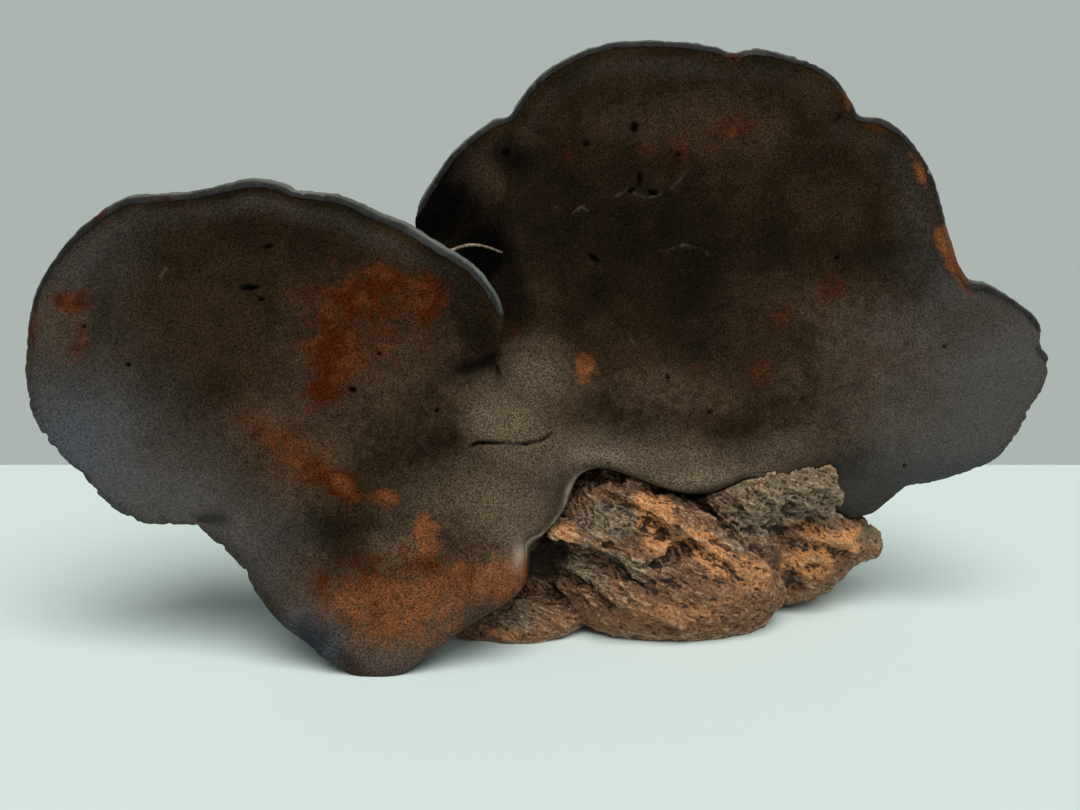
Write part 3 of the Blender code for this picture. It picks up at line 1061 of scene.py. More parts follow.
    def refine(self, fans: bpy.types.Object) -> None:
        """Give the skin closer vertices along the margin, and round the small marks.

        Args:
            fans: The fans' object.
        """
        spots = read_spots(fans)
        rim = self.margin_distance(spots) < self.rim_reach
        rim |= patch_level(spots, self.pitted_foot) < 1.0
        self.subdivide(fans, rim & (read_normals(fans)[:, 1] < 0.35), 1)
        spots = read_spots(fans)
        close = np.zeros(len(spots), dtype=bool)
        for paths, reach in (((CRACK,), 4.0), (SCRATCHES, 1.6), (NICKS, 1.2)):
            for path in paths:
                close |= path_distance(spots, path)[0] < reach
        for pit in PITS:
            close |= distance(spots, pit.place) < max(pit.half) + 1.6
        close &= read_normals(fans)[:, 1] < 0.2
        self.subdivide(fans, close, 2)

    def subdivide(self, fans: bpy.types.Object, close: np.ndarray, cuts: int) -> None:
        """Cut the chosen part of the skin finer.

        Args:
            fans: The fans' object.
            close: One truth value a vertex.
            cuts: How many cuts an edge gets.
        """
        make_active(fans)
        select_vertices(fans, close)
        bpy.ops.object.mode_set(mode="EDIT")
        bpy.ops.mesh.subdivide(number_cuts=cuts, smoothness=0.0)
        bpy.ops.object.mode_set(mode="OBJECT")

    def read_skin(self, fans: bpy.types.Object) -> Skin:
        """The skin before any relief.

        Args:
            fans: The fans' object.

        Returns:
            Its points and normals, and where each point lies on the fans.
        """
        spots, normals = read_spots(fans), read_normals(fans)
        calm = spread(fans, normals, 6)
        calm /= np.linalg.norm(calm, axis=1)[:, None]
        rim = self.margin_distance(spots)
        near_rim = 1.0 - smooth_step(*self.band_end, rim)
        off_lip = 1.0 - self.lip_share(spots)
        turn = -calm[:, 1] + 0.05 * Grain(12.0, 5).rough(spots)
        return Skin(
            spots=spots,
            normals=normals,
            calm=calm,
            rim=rim,
            near_rim=near_rim,
            off_lip=off_lip,
            front=smooth_step(0.05, 0.45, -normals[:, 1]),
            back=smooth_step(0.0, 0.4, normals[:, 1]),
            turn=turn,
            band=1.0 - smooth_step(self.rim_turn - self.rim_blur, self.rim_turn + self.rim_blur, turn),
            shown=self.band_share(spots, calm) * near_rim * off_lip,
            lift=np.zeros(len(spots)),
            dark=np.zeros(len(spots)),
        )

    def wear(self, skin: Skin) -> None:
        """Low swells, the rust rubbed down and eaten, and the ripples under the right fan's middle.

        Args:
            skin: The skin.
        """
        spots, front = skin.spots, skin.front
        skin.lift += 0.40 * Grain(26.0, 51).rough(spots) + 0.16 * Grain(6.0, 52).rough(spots)
        skin.lift += 0.05 * Grain(1.8, 53, 2).rough(spots)
        skin.lift -= 0.30 * self.rust_share(spots, skin.back) * front
        eaten = self.eaten(spots) * front
        skin.lift -= eaten
        # Painted shade in the worm holes.
        skin.dark = 0.4 * smooth_step(0.35, 0.9, eaten)
        ring = distance(spots, self.ripple_middle)
        waves = np.sin(ring * 0.95 + 1.5 * Grain(14.0, 55).rough(spots))
        fade = np.exp(-((ring - self.ripple_radius) ** 2) / 200.0)
        skin.lift += self.ripple_height * waves * fade * front

    def carve_pits(self, skin: Skin) -> None:
        """Small pits, each with a low swollen edge, darkened inside with painted shade.

        Args:
            skin: The skin.
        """
        for pit in PITS:
            level = patch_level(skin.spots, pit) * 1.2 + 0.45 * Grain(1.5, 56, 2).rough(skin.spots)
            well = np.exp(-np.maximum(level, 0.0) ** 4 * 0.8)
            skin.lift -= pit.depth * well * skin.front
            skin.lift += 0.18 * np.exp(-((level - 1.9) ** 2) * 3.0) * skin.front
            skin.dark = np.maximum(skin.dark, well)

    def open_crack(self, skin: Skin) -> None:
        """The long crack in the saddle, its lower side standing out and its slit darkened with painted
        shade.

        Args:
            skin: The skin.
        """
        gap, place = path_distance(skin.spots, CRACK)
        ends = smooth_step(0.0, 0.12, place) * (1.0 - smooth_step(0.88, 1.0, place))
        slit = bell(gap, self.crack.width) * (0.5 + 0.5 * ends)
        skin.lift -= self.crack.depth * slit * skin.front
        below = self.below_crack(skin.spots)
        skin.lift += self.crack_step * np.exp(-gap / 5.0) * below * skin.front * (0.3 + 0.7 * ends)
        skin.dark = np.maximum(skin.dark, 1.4 * slit)

    def cut_lines(self, skin: Skin) -> None:
        """The nicks of the margin, and the undercut where the gap between the fans runs out, both darkened
        with painted shade.

        Args:
            skin: The skin.
        """
        for path in NICKS:
            gap = path_distance(skin.spots, path)[0] + 0.25 * Grain(2.0, 62, 2).rough(skin.spots)
            skin.carve(self.nick, bell(gap, self.nick.width), 0.9)
        gap, place = path_distance(skin.spots, UNDERCUT)
        under = bell(gap, self.undercut.width) * (1.0 - 0.75 * place)
        skin.lift -= self.undercut.depth * under * skin.front
        skin.dark = np.maximum(skin.dark, 0.95 * under)

    def scratch_face(self, skin: Skin) -> np.ndarray:
        """Thin pale scratches and threads on the pore face.

        Args:
            skin: The skin.

        Returns:
            How far each point lies on one, 0 to 1.
        """
        spots = skin.spots
        thread = np.zeros(len(spots))
        for path in SCRATCHES:
            gap = path_distance(spots, path)[0] + 0.5 * Grain(2.2, 57, 2).rough(spots)
            thread = np.maximum(thread, bell(gap, self.scratch.width))
        thread *= smooth_step(-0.5, 0.2, Grain(3.0, 63, 2).rough(spots))
        skin.lift -= self.scratch.depth * thread * skin.front
        return thread * skin.front

    def ridge_crust(self, fans: bpy.types.Object, skin: Skin) -> np.ndarray:
        """Growth zones, grain and splits of the crust behind.

        Args:
            fans: The fans' object.
            skin: Its skin.

        Returns:
            The zones' tone between 0 and 1.
        """
        swell, zones = self.crust_zones(fans, skin.spots, skin.rim)
        skin.lift += skin.back * swell
        skin.lift += skin.back * 0.45 * Grain(3.4, 60, 3, 0.6).rough(skin.spots)
        split = Grain(15.0, 75, 3).ridged(skin.spots)
        skin.lift -= skin.back * 0.9 * smooth_step(0.72, 0.95, split)
        return zones

    def roughen_margin(self, skin: Skin) -> np.ndarray:
        """The uneven, chipped margin and the groove inside its band.

        Args:
            skin: The skin.

        Returns:
            How far each point lies in the groove, 0 to 1.
        """
        spots = skin.spots
        groove = bell(skin.turn - self.rim_turn, self.groove.width) * skin.shown
        groove *= 0.4 + 0.6 * smooth_step(-0.4, 0.2, Grain(18.0, 64).rough(spots))
        skin.lift -= self.groove.depth * groove
        edge = skin.band * skin.near_rim * skin.off_lip * (1.0 - skin.back)
        uneven = 0.55 * Grain(7.0, 61, 3).rough(spots) + 0.25 * Grain(2.4, 65, 2).rough(spots)
        skin.lift += edge * (0.30 * skin.shown + uneven)
        skin.lift -= 1.2 * edge * smooth_step(0.25, 0.6, Grain(5.0, 66, 2).rough(spots))
        chipped = patches_mask(spots, CHIPPED_PATCHES, Grain(10.0, 69), 0.4, 0.8)
        teeth = smooth_step(0.0, 0.35, Grain(3.6, 70, 2).rough(spots * (1.0, 0.4, 1.0)))
        skin.lift -= 1.5 * chipped * teeth * (1.0 - smooth_step(3.5, 6.5, skin.rim))
        return groove

    def mark_margin(self, fans: bpy.types.Object, skin: Skin, shine: np.ndarray) -> None:
        """Keep the tones of the margin: crust, a painted highlight on the top of the rim, an inner ring
        lightened with painted highlight, and the pale edge of the lip with its painted highlight.

        Args:
            fans: The fans' object.
            skin: Its skin.
            shine: The smooth blister on the lip.
        """
        spots, turn = skin.spots, skin.turn
        sharp = (1.0 - smooth_step(-0.05, 0.22, turn)) * smooth_step(10.0, 24.0, distance(spots, CLEFT_END))
        crust = np.maximum(np.maximum(skin.band * skin.shown, sharp * skin.off_lip), skin.back)
        write_mask(fans, "crust", crust)
        # Painted highlight on the top of the rim, where it faces up into the light.
        rim_highlight = skin.shown * (1.0 - smooth_step(0.35, 0.70, turn))
        rim_highlight *= 0.55 + 0.45 * smooth_step(-0.3, 0.3, Grain(16.0, 79, 3).rough(spots))
        write_mask(fans, "rim_highlight", rim_highlight)
        # A lighter ring just inside the rim groove, strongest where the margin faces up: a painted
        # highlight on the raised edge there.
        ring = smooth_step(6.0, 8.5, skin.rim) * (1.0 - smooth_step(9.0, 15.0, skin.rim))
        inner = self.band_share(spots, skin.calm) * ring * skin.front * skin.off_lip
        write_mask(fans, "inner", inner)
        flat = np.array([1.0, 0.15, 1.0])
        off = path_distance(spots * flat, tuple(np.array(PALE_EDGE) * flat))[0]
        # The pale edge of the lip and a painted highlight where it faces the light, with a painted glint on
        # the smooth blister.
        lip_highlight = bell(turn - 0.42, 0.16) * (1.0 - smooth_step(2.5, 6.0, off))
        lip_highlight *= 0.55 + 0.45 * smooth_step(-0.3, 0.3, Grain(5.0, 77, 2).rough(spots))
        write_mask(fans, "lip_highlight", np.maximum(lip_highlight, 0.6 * shine))
        write_mask(fans, "shine", np.maximum(0.10 * self.lip_share(spots), 0.6 * shine))

    def weather(self, fans: bpy.types.Object) -> None:
        """Work the relief of pores, crust, pits and wear into the skin.

        Args:
            fans: The fans' object.
        """
        skin = self.read_skin(fans)
        self.wear(skin)
        self.carve_pits(skin)
        self.open_crack(skin)
        skin.lift -= self.notch.depth * bell(distance(skin.spots, self.notch_place), self.notch.width)
        shine = np.exp(-(patch_level(skin.spots, self.blister) ** 2) * 1.4)
        skin.lift -= self.blister.depth * shine
        self.cut_lines(skin)
        thread = self.scratch_face(skin)
        zones = self.ridge_crust(fans, skin)
        groove = self.roughen_margin(skin)
        write_spots(fans, skin.spots + skin.normals * skin.lift[:, None])
        write_mask(fans, "front", skin.front)
        write_mask(fans, "back", skin.back)
        # Painted shade in the pits, crack, nicks, undercut, worm holes and the groove inside the rim band.
        write_mask(fans, "dark", np.maximum(skin.dark * skin.front, 0.8 * groove))
        write_mask(fans, "thread", thread)
        write_mask(fans, "zone", zones)
        self.mark_margin(fans, skin, shine)

    def crust_zones(
        self, fans: bpy.types.Object, spots: np.ndarray, rim: np.ndarray
    ) -> tuple[np.ndarray, np.ndarray]:
        """Growth zones of the crust, running from the margin round to where the fans grew out.

        Args:
            fans: The fans' object.
            spots: Its points in millimetres.
            rim: Distance of each point to the margin.

        Returns:
            The relief in millimetres, and the zones' tone between 0 and 1.
        """
        away = [np.hypot(spots[:, 0] - x, spots[:, 2] - z) for x, z in self.growth_starts]
        start = 1.0 / (1.0 / (away[0] + 8.0) + 1.0 / (away[1] + 8.0))
        course = spread(fans, rim / (rim + 1.6 * start), 80)
        course = 11.0 * course + 0.9 * Grain(34.0, 58, 3).rough(spots)
        ridges = np.abs(np.sin(math.pi * course)) ** 0.8
        strength = 0.35 + 0.65 * smooth_step(-0.4, 0.4, Grain(26.0, 76, 2).rough(spots))
        swell = 1.1 * (ridges - 0.6) * strength + 1.2 * Grain(22.0, 59).rough(spots)
        swell += 0.14 * np.sin(6.5 * math.pi * course) * strength
        tone = 0.5 + 0.3 * np.sin(1.1 * math.pi * course + 0.8) + 0.4 * Grain(12.0, 78).rough(spots)
        return swell, tone

    def band_share(self, spots: np.ndarray, normals: np.ndarray) -> np.ndarray:
        """How clearly the crust shows as a band along the margin, most where it faces up.

        Args:
            spots: Points in millimetres.
            normals: The skin's calmed normals.

        Returns:
            One share a point.
        """
        up = smooth_step(-0.05, 0.45, normals[:, 2] + 0.16 * Grain(24.0, 74).rough(spots))
        return (0.05 + 0.95 * up) * smooth_step(6.0, 26.0, distance(spots, CLEFT_END))

    def rust_share(self, spots: np.ndarray, back: np.ndarray) -> np.ndarray:
        """How rusty each point is."""
        return patches_mask(spots, RUST_PATCHES, Grain(11.0, 11, 6, 0.66), 1.0, 0.95) * (1.0 - back)

    def eaten(self, spots: np.ndarray) -> np.ndarray:
        """Depth of the short worm-like hollows on the foot and on rusty places.

        Args:
            spots: Points in millimetres.

        Returns:
            One depth a point.
        """
        where = patches_mask(spots, EATEN_PATCHES, Grain(8.0, 67), 0.5, 0.9)
        holes = smooth_step(0.12, 0.42, Grain(2.0, 68, 2).rough(drawn_out(spots, 30.0, 1.9)))
        return where * holes

    def paint(self, fans: bpy.types.Object) -> None:
        """Keep the tones of the pore face.

        Args:
            fans: The fans' object.
        """
        spots = read_spots(fans)
        front, back = read_mask(fans, "front"), read_mask(fans, "back")
        write_mask(fans, "rust", self.rust_share(spots, back))
        for tone in TONES:
            mask = patches_mask(spots, tone.patches, tone.edge, tone.fray, tone.soft) * front
            write_mask(fans, tone.name, mask**tone.power)

    def lip_share(self, spots: np.ndarray) -> np.ndarray:
        """How far each point belongs to the thick smooth lip over the base."""
        near = path_distance(spots, LIP)[0]
        return 1.0 - smooth_step(10.0, 16.0, near)

    def below_crack(self, spots: np.ndarray) -> np.ndarray:
        """1 just under the crack, 0 above it.

        Args:
            spots: Points in millimetres.

        Returns:
            One value a point.
        """
        knots = np.array(CRACK)
        line = np.interp(spots[:, 0], knots[:, 0], knots[:, 2])
        return smooth_step(-0.2, 0.4, line - spots[:, 2])

    def build(self) -> bpy.types.Object:
        """The finished fans.

        Returns:
            The object, its place in its mesh.
        """
        fans = self.open_sphere()
        fans.name = fans.data.name = "fungus_fans"
        apply_step(fans, Step.REMESH, mode="VOXEL", voxel_size=self.voxel * MM)
        apply_step(fans, Step.SMOOTH, factor=0.5, iterations=6)
        self.ease(fans, 90)
        self.refine(fans)
        self.weather(fans)
        self.paint(fans)
        return fans


@dataclass(frozen=True)
class Ledge:
    """A torn ledge or fold on the base: a raised line, undercut below."""

    path: tuple[Point, ...]
    width: float
    height: float
    under: float = 1.0


# Torn ledges of the base, and the one deep fold between its lumps.
LEDGES = (
    Ledge(((-36, -31, 47), (-31, -36, 42), (-24, -36, 39), (-17, -33, 38)), 3.4, 4.6, 1.2),
    Ledge(((-4, -28, 56), (2, -31, 50), (8, -32, 45), (14, -33, 40)), 3.6, 4.2, 0.9),
    Ledge(((14, -33, 40), (8, -34, 37), (2, -34, 34)), 3.0, 3.4, 1.0),
    Ledge(((15, -34, 46), (21, -36, 40), (29, -38, 34), (37, -39, 28)), 3.2, 4.4, 0.7),
    Ledge(((-20, -33, 38), (-12, -34, 34), (0, -38, 29), (12, -40, 28)), 3.0, 3.0, 1.3),
    Ledge(((-29, -26, 28), (-22, -31, 26), (-15, -35, 22), (-9, -38, 17)), 3.4, 3.2, 0.8),
    Ledge(((46, -30, 35), (52, -25, 29), (58, -16, 22), (60, -8, 12)), 3.6, -4.2, 0.0),
    Ledge(((50, -20, 40), (60, -14, 36), (70, -11, 33), (82, -4, 30)), 3.0, 3.0, 1.1),
    Ledge(((66, -11, 26), (78, -8, 24), (90, -2, 26)), 2.6, 2.2, 0.8),
    Ledge(((-12, -28, 56), (-4, -30, 52), (0, -31, 46)), 2.4, 2.6, 1.0),
    Ledge(((20, -20, 54), (30, -22, 48), (40, -24, 42), (50, -24, 35)), 3.0, 2.6, 0.8),
    Ledge(((4, -38, 24), (16, -41, 20), (30, -41, 15)), 2.6, 1.6, 0.8),
)

ASHEN_PATCHES = (
    Patch((56, -18, 52), (38, 17), 0.95, -5),
    Patch((44, -22, 38), (20, 10), 0.6, -30),
    Patch((20, -12, 56), (18, 7), 0.9),
    Patch((-14, -30, 46), (14, 9), 0.9),
    Patch((-20, -32, 26), (12, 6), 0.85, -30),
    Patch((-8, -36, 32), (14, 4), 0.8, -20),
    Patch((32, -34, 38), (10, 4), 0.6, -35),
    Patch((74, -10, 40), (12, 6), 0.7, -20),
    Patch((-46, -28, 10), (16, 7), 0.7),
    Patch((94, 2, 32), (9, 7), 0.8),
)

FRESH_PATCHES = (
    Patch((5, -32, 48), (8, 9), 1.0, -40),
    Patch((2, -30, 53), (6, 6), 0.9),
    Patch((8, -34, 38), (9, 5), 1.0),
    Patch((24, -38, 36), (14, 7), 1.0, -40),
    Patch((40, -36, 26), (14, 9), 0.6, -20),
    Patch((72, -10, 36), (16, 8), 1.0, -20),
    Patch((66, -10, 24), (14, 8), 0.85),
    Patch((86, -2, 30), (8, 6), 0.8),
    Patch((-28, -36, 42), (7, 4), 0.8),
    Patch((14, -41, 14), (26, 8), 0.5),
    Patch((-50, -30, 4), (10, 3), 0.7),
)

SHADE_PATCHES = (
    Patch((-33, -24, 34), (9, 10), 1.0),
    Patch((-38, -22, 24), (9, 8), 1.0),
    Patch((-4, -32, 40), (6, 4), 0.6),
    Patch((52, -25, 29), (4, 6), 0.6, -40),
    Patch((14, -24, 57), (26, 2.5), 0.7),
)


@dataclass
class TornBase:
    """The fibrous lump of torn woody tissue on which the fungus stands."""

    coarse_voxel: float = 1.0
    middle_voxel: float = 0.8
    fine_voxel: float = 0.52
    fibre_turn: float = 28.0
    seat_gap: float = 0.35
    most_triangles: int = 185000

    def add_lump(self, centre: Point, halves: Point, turn: float) -> bpy.types.Object:
        """One rounded lump of the base.

        Args:
            centre: Its middle.
            halves: Its half sizes.
            turn: Its turn about the depth axis, in degrees.

        Returns:
            The lump's object.
        """
        deselect_all()
        bpy.ops.mesh.primitive_ico_sphere_add(subdivisions=4, radius=MM)
        lump = bpy.context.active_object
        lump.scale = halves
        lump.rotation_euler = (0.0, math.radians(turn), 0.0)
        lump.location = Vector(centre) * MM
        bpy.ops.object.transform_apply(location=True, rotation=True, scale=True)
        return lump

    def grow_together(self) -> bpy.types.Object:
        """The lumps joined into one skin.

        Returns:
            The base's first plain object.
        """
        lumps = [self.add_lump(*row) for row in LUMPS]
        deselect_all()
        for lump in lumps:
            lump.select_set(True)
        bpy.context.view_layer.objects.active = lumps[0]
        bpy.ops.object.join()
        base = bpy.context.active_object
        base.name = base.data.name = "torn_base"
        apply_step(base, Step.REMESH, mode="VOXEL", voxel_size=self.coarse_voxel * MM)
        apply_step(base, Step.SMOOTH, factor=0.5, iterations=8)
        return base

    def push(self, base: bpy.types.Object, lift: np.ndarray) -> None:
        """Move each vertex along its normal by its lift in millimetres."""
        write_spots(base, read_spots(base) + read_normals(base) * lift[:, None])

    def lay_ledges(self, base: bpy.types.Object, share: float) -> None:
        """Raise the torn ledges and undercut them.

        Args:
            base: The base's object.
            share: Share of each ledge's height to give in this pass.
        """
        spots, normals = read_spots(base), read_normals(base)
        warp = np.stack([Grain(9.0, seed, 3).rough(spots) for seed in (71, 72, 73)], axis=1)
        spots = spots + 2.0 * warp
        lift = np.zeros(len(spots))
        for ledge in LEDGES:
            above = bell(path_distance(spots, ledge.path)[0], ledge.width)
            lower = tuple((x, y, z - 1.5 * ledge.width) for x, y, z in ledge.path)
            below = bell(path_distance(spots, lower)[0], ledge.width)
            lift += ledge.height * (above - ledge.under * below)
        facing = smooth_step(-0.1, 0.4, -normals[:, 1])
        self.push(base, share * lift * facing)

    def wander(self, spots: np.ndarray) -> np.ndarray:
        """Points moved about a little, so that the fibres bend and cross.

        Args:
            spots: Points in millimetres.

        Returns:
            The moved points.
        """
        moved = spots.copy()
        for axis in range(3):
            moved[:, axis] += 6.0 * Grain(24.0, 110 + axis, 2).rough(spots)
            moved[:, axis] += 1.6 * Grain(6.5, 114 + axis, 2).rough(spots)
        return moved

    def shingle(self, spots: np.ndarray, period: float, turn: float, seed: int) -> np.ndarray:
        """Overlapping torn layers: each swells out downwards and ends in an undercut edge.

        Args:
            spots: Points in millimetres.
            period: Distance from one edge to the next.
            turn: Fall of the layers to the right, in degrees.
            seed: Number that picks the pattern.

        Returns:
            How far each point stands out, 0 to 1.
        """
        along = drawn_out(spots, turn, 1.9, 1.2)
        bend = Grain(3.2 * period, seed, 3, 0.55).rough(along)
        steps = along[:, 2] / period + 1.9 * bend
        part = steps - np.floor(steps)
        strength = smooth_step(-0.35, 0.35, Grain(2.2 * period, seed + 7, 2).rough(along))
        rise = (1.0 - part) ** 1.4 * smooth_step(0.0, 0.10, part)
        return rise * strength

    def tear(self, base: bpy.types.Object) -> None:
        """Break the skin into forms, folds and fibres, from coarse to fine.

        Args:
            base: The base's object.
        """
        spots = read_spots(base)
        lift = 3.2 * Grain(20.0, 81, 3).rough(drawn_out(spots, 24.0, 2.2))
        lift += 1.8 * Grain(7.5, 82, 3).rough(drawn_out(spots, 32.0, 2.4))
        self.push(base, lift)
        self.lay_ledges(base, 0.6)
        apply_step(base, Step.REMESH, mode="VOXEL", voxel_size=self.coarse_voxel * MM)
        self.lay_ledges(base, 0.5)
        spots = read_spots(base)
        torn = self.torn_share(spots)
        lift = (3.6 * self.shingle(self.wander(spots), 8.5, 30.0, 101) - 1.1) * torn
        lift += 1.6 * Grain(6.0, 107, 3).rough(spots) * torn
        lift += 1.9 * Grain(6.0, 85, 3, 0.6).rough(spots) * (1.0 - torn)
        self.push(base, lift)
        apply_step(base, Step.REMESH, mode="VOXEL", voxel_size=self.middle_voxel * MM)
        spots = read_spots(base)
        torn = self.torn_share(spots)
        bent = self.wander(spots)
        lift = (2.3 * self.shingle(bent, 4.0, 34.0, 103) - 0.8) * torn
        flakes = Grain(4.2, 84, 3, 0.6).ridged(drawn_out(bent, 38.0, 1.6, 1.4))
        lift += (1.1 * flakes - 0.4) * (0.25 + 0.75 * torn)
        self.push(base, lift)
        apply_step(base, Step.REMESH, mode="VOXEL", voxel_size=self.middle_voxel * MM)

    def fray(self, base: bpy.types.Object, fans: bpy.types.Object) -> None:
        """Give the torn skin its fibres, cracks and small holes.

        Args:
            base: The base's object.
            fans: The fans, which the fibres stop short of.
        """
        apply_step(base, Step.REMESH, mode="VOXEL", voxel_size=self.fine_voxel * MM)
        spots = read_spots(base)
        torn = self.torn_share(spots)
        bent = self.wander(spots)
        fibres = Grain(1.9, 86, 3, 0.6).ridged(drawn_out(bent, self.fibre_turn, 3.6, 1.5))
        crumbly = smooth_step(22.0, 36.0, spots[:, 0]) * smooth_step(30.0, 40.0, spots[:, 2])
        torn *= 1.0 - 0.6 * crumbly
        lift = (1.15 * fibres - 0.35) * (0.30 + 0.70 * torn)
        lift += crumbly * (1.5 * Grain(2.6, 120, 3, 0.6).rough(spots) + 0.8 * Grain(5.0, 121).rough(spots))
        lift += 0.85 * (self.shingle(bent, 1.9, 26.0, 105) - 0.3) * torn
        lift += 0.40 * Grain(1.5, 87, 2).rough(spots) + 0.75 * Grain(3.4, 88, 3).rough(spots)
        cracks = Grain(6.0, 106, 2).ridged(drawn_out(spots, 40.0, 1.5))
        lift -= 0.8 * smooth_step(0.72, 0.95, cracks) * (1.0 - 0.6 * torn)
        holes = smooth_step(0.26, 0.56, Grain(3.0, 89, 2).rough(drawn_out(spots, 30.0, 1.8)))
        lift -= 1.2 * holes * (0.4 + 0.6 * torn)
        room = self.room(spots, fans)
        lift = np.where(lift > 0.0, lift * smooth_step(0.4, 1.6, room), lift)
        self.push(base, lift * smooth_step(0.0, 1.0, spots[:, 2]))
        spots = read_spots(base)
        spots[:, 2] = np.maximum(spots[:, 2], 0.0)
        write_spots(base, spots)

    def room(self, spots: np.ndarray, fans: bpy.types.Object) -> np.ndarray:
        """Distance from each point to the fans' skin, in millimetres."""
        tree = BVHTree.FromObject(fans, bpy.context.evaluated_depsgraph_get())
        return np.array([tree.find_nearest(spot)[3] for spot in (spots * MM).tolist()]) / MM

    def thin_out(self, base: bpy.types.Object) -> None:
        """Take vertices out, most of them behind and below where the skin is plainer.

        Args:
            base: The base's object.
        """
        normals = read_normals(base)
        plain = smooth_step(-0.15, 0.35, normals[:, 1]) + smooth_step(0.3, 0.8, -normals[:, 2])
        group = base.vertex_groups.new(name="plain")
        share = np.clip(0.25 + plain, 0.0, 1.0)
        for level in (0.25, 0.5, 0.75, 1.0):
            picked = np.nonzero(np.abs(share - level) <= 0.125)[0]
            group.add(picked.tolist(), level, "REPLACE")
        count = len(base.data.polygons) * 2
        ratio = min(1.0, self.most_triangles / count)
        apply_step(base, Step.DECIMATE, ratio=ratio, vertex_group="plain", vertex_group_factor=0.6)
        base.vertex_groups.clear()

    def torn_share(self, spots: np.ndarray) -> np.ndarray:
        """1 on the torn, fibrous upper part, less on the rounded underside."""
        edge = spots[:, 2] - 0.18 * spots[:, 0] + 4.0 * Grain(14.0, 90).rough(spots)
        return 0.25 + 0.75 * smooth_step(13.0, 25.0, edge)

    def seat(self, base: bpy.types.Object, fans: bpy.types.Object) -> None:
        """Cut the place where the fans sit out of the base.

        Args:
            base: The base's object.
            fans: The fans' object.
        """
        cutter = fans.copy()
        cutter.data = fans.data.copy()
        bpy.context.scene.collection.objects.link(cutter)
        apply_step(cutter, Step.DECIMATE, decimate_type="COLLAPSE", ratio=0.25)
        apply_step(cutter, Step.DISPLACE, strength=self.seat_gap * MM, mid_level=0.0)
        apply_step(base, Step.BOOLEAN, operation="DIFFERENCE", object=cutter, solver="EXACT")
        bpy.data.objects.remove(cutter, do_unlink=True)

    def tone(self, base: bpy.types.Object) -> None:
        """Keep the base's tones: painted shade in the hollows, pale fibres and painted highlight on the
        crests, fresh orange and ashen places.

        Args:
            base: The base's object.
        """
        spots, normals = read_spots(base), read_normals(base)
        fine = ((spots - spread(base, spots, 6)) * normals).sum(axis=1)
        wide = ((spots - spread(base, spots, 60)) * normals).sum(axis=1)
        # Painted shade in the hollows and the shade patches, and painted highlight on the crests.
        hollow = smooth_step(0.01, 0.22, -fine) * 0.75 + smooth_step(0.05, 1.0, -wide) * 0.95
        crest = smooth_step(0.02, 0.24, fine) * 0.8 + smooth_step(0.1, 1.1, wide) * 0.75
        ashen = patches_mask(spots, ASHEN_PATCHES, Grain(8.0, 91))
        ashen = np.maximum(ashen, 0.8 * smooth_step(0.15, 0.5, Grain(11.0, 92).rough(spots)))
        fresh = patches_mask(spots, FRESH_PATCHES, Grain(7.0, 93))
        fresh = np.maximum(fresh, 0.45 * smooth_step(0.2, 0.6, Grain(9.0, 94).rough(spots)))
        shade = patches_mask(spots, SHADE_PATCHES, Grain(9.0, 95))
        write_mask(base, "hollow", np.maximum(hollow, shade))
        write_mask(base, "crest", crest)
        write_mask(base, "ashen", ashen)
        write_mask(base, "fresh", fresh)

    def build(self, fans: bpy.types.Object) -> bpy.types.Object:
        """The finished base.

        Args:
            fans: The fans that sit on it.

        Returns:
            The object, its place in its mesh.
        """
        base = self.grow_together()
        self.tear(base)
        self.seat(base, fans)
        cut_flat(base)
        drop_crumbs(base)
        self.fray(base, fans)
        self.thin_out(base)
        return base


@dataclass
class Rootlet:
    """The thin pale rootlet that sticks out of the gap between the fans."""

    path: tuple[Point, ...] = (
        (-72, -27, 141), (-66, -26, 143.5), (-61, -22, 144.5), (-56, -15, 143.5), (-51, -4, 141),
    )
    radius: float = 0.55

    def build(self) -> bpy.types.Object:
        """The finished rootlet, a closed tapering tube.

        Returns:
            The object, its place in its mesh.
        """
        curve = bpy.data.curves.new("rootlet", "CURVE")
        curve.dimensions = "3D"
        curve.bevel_depth = self.radius * MM
        curve.bevel_resolution = 3
        curve.resolution_u = 8
        curve.use_fill_caps = True
        spline = curve.splines.new("NURBS")
        spline.points.add(len(self.path) - 1)
        spline.order_u = 3
        spline.use_endpoint_u = True
        for i, (point, place) in enumerate(zip(spline.points, self.path)):
            point.co = (*(Vector(place) * MM), 1.0)
            point.radius = 1.15 - 0.12 * i
        thread = bpy.data.objects.new("rootlet", curve)
        bpy.context.scene.collection.objects.link(thread)
        make_active(thread)
        bpy.ops.object.convert(target="MESH")
        thread = bpy.context.active_object
        bpy.ops.object.mode_set(mode="EDIT")
        bpy.ops.mesh.select_all(action="SELECT")
        bpy.ops.mesh.remove_doubles(threshold=0.00001)
        bpy.ops.mesh.normals_make_consistent(inside=False)
        bpy.ops.object.mode_set(mode="OBJECT")
        spots = read_spots(thread)
        write_spots(thread, spots + 0.12 * read_normals(thread) * Grain(1.1, 97).rough(spots)[:, None])
        return thread


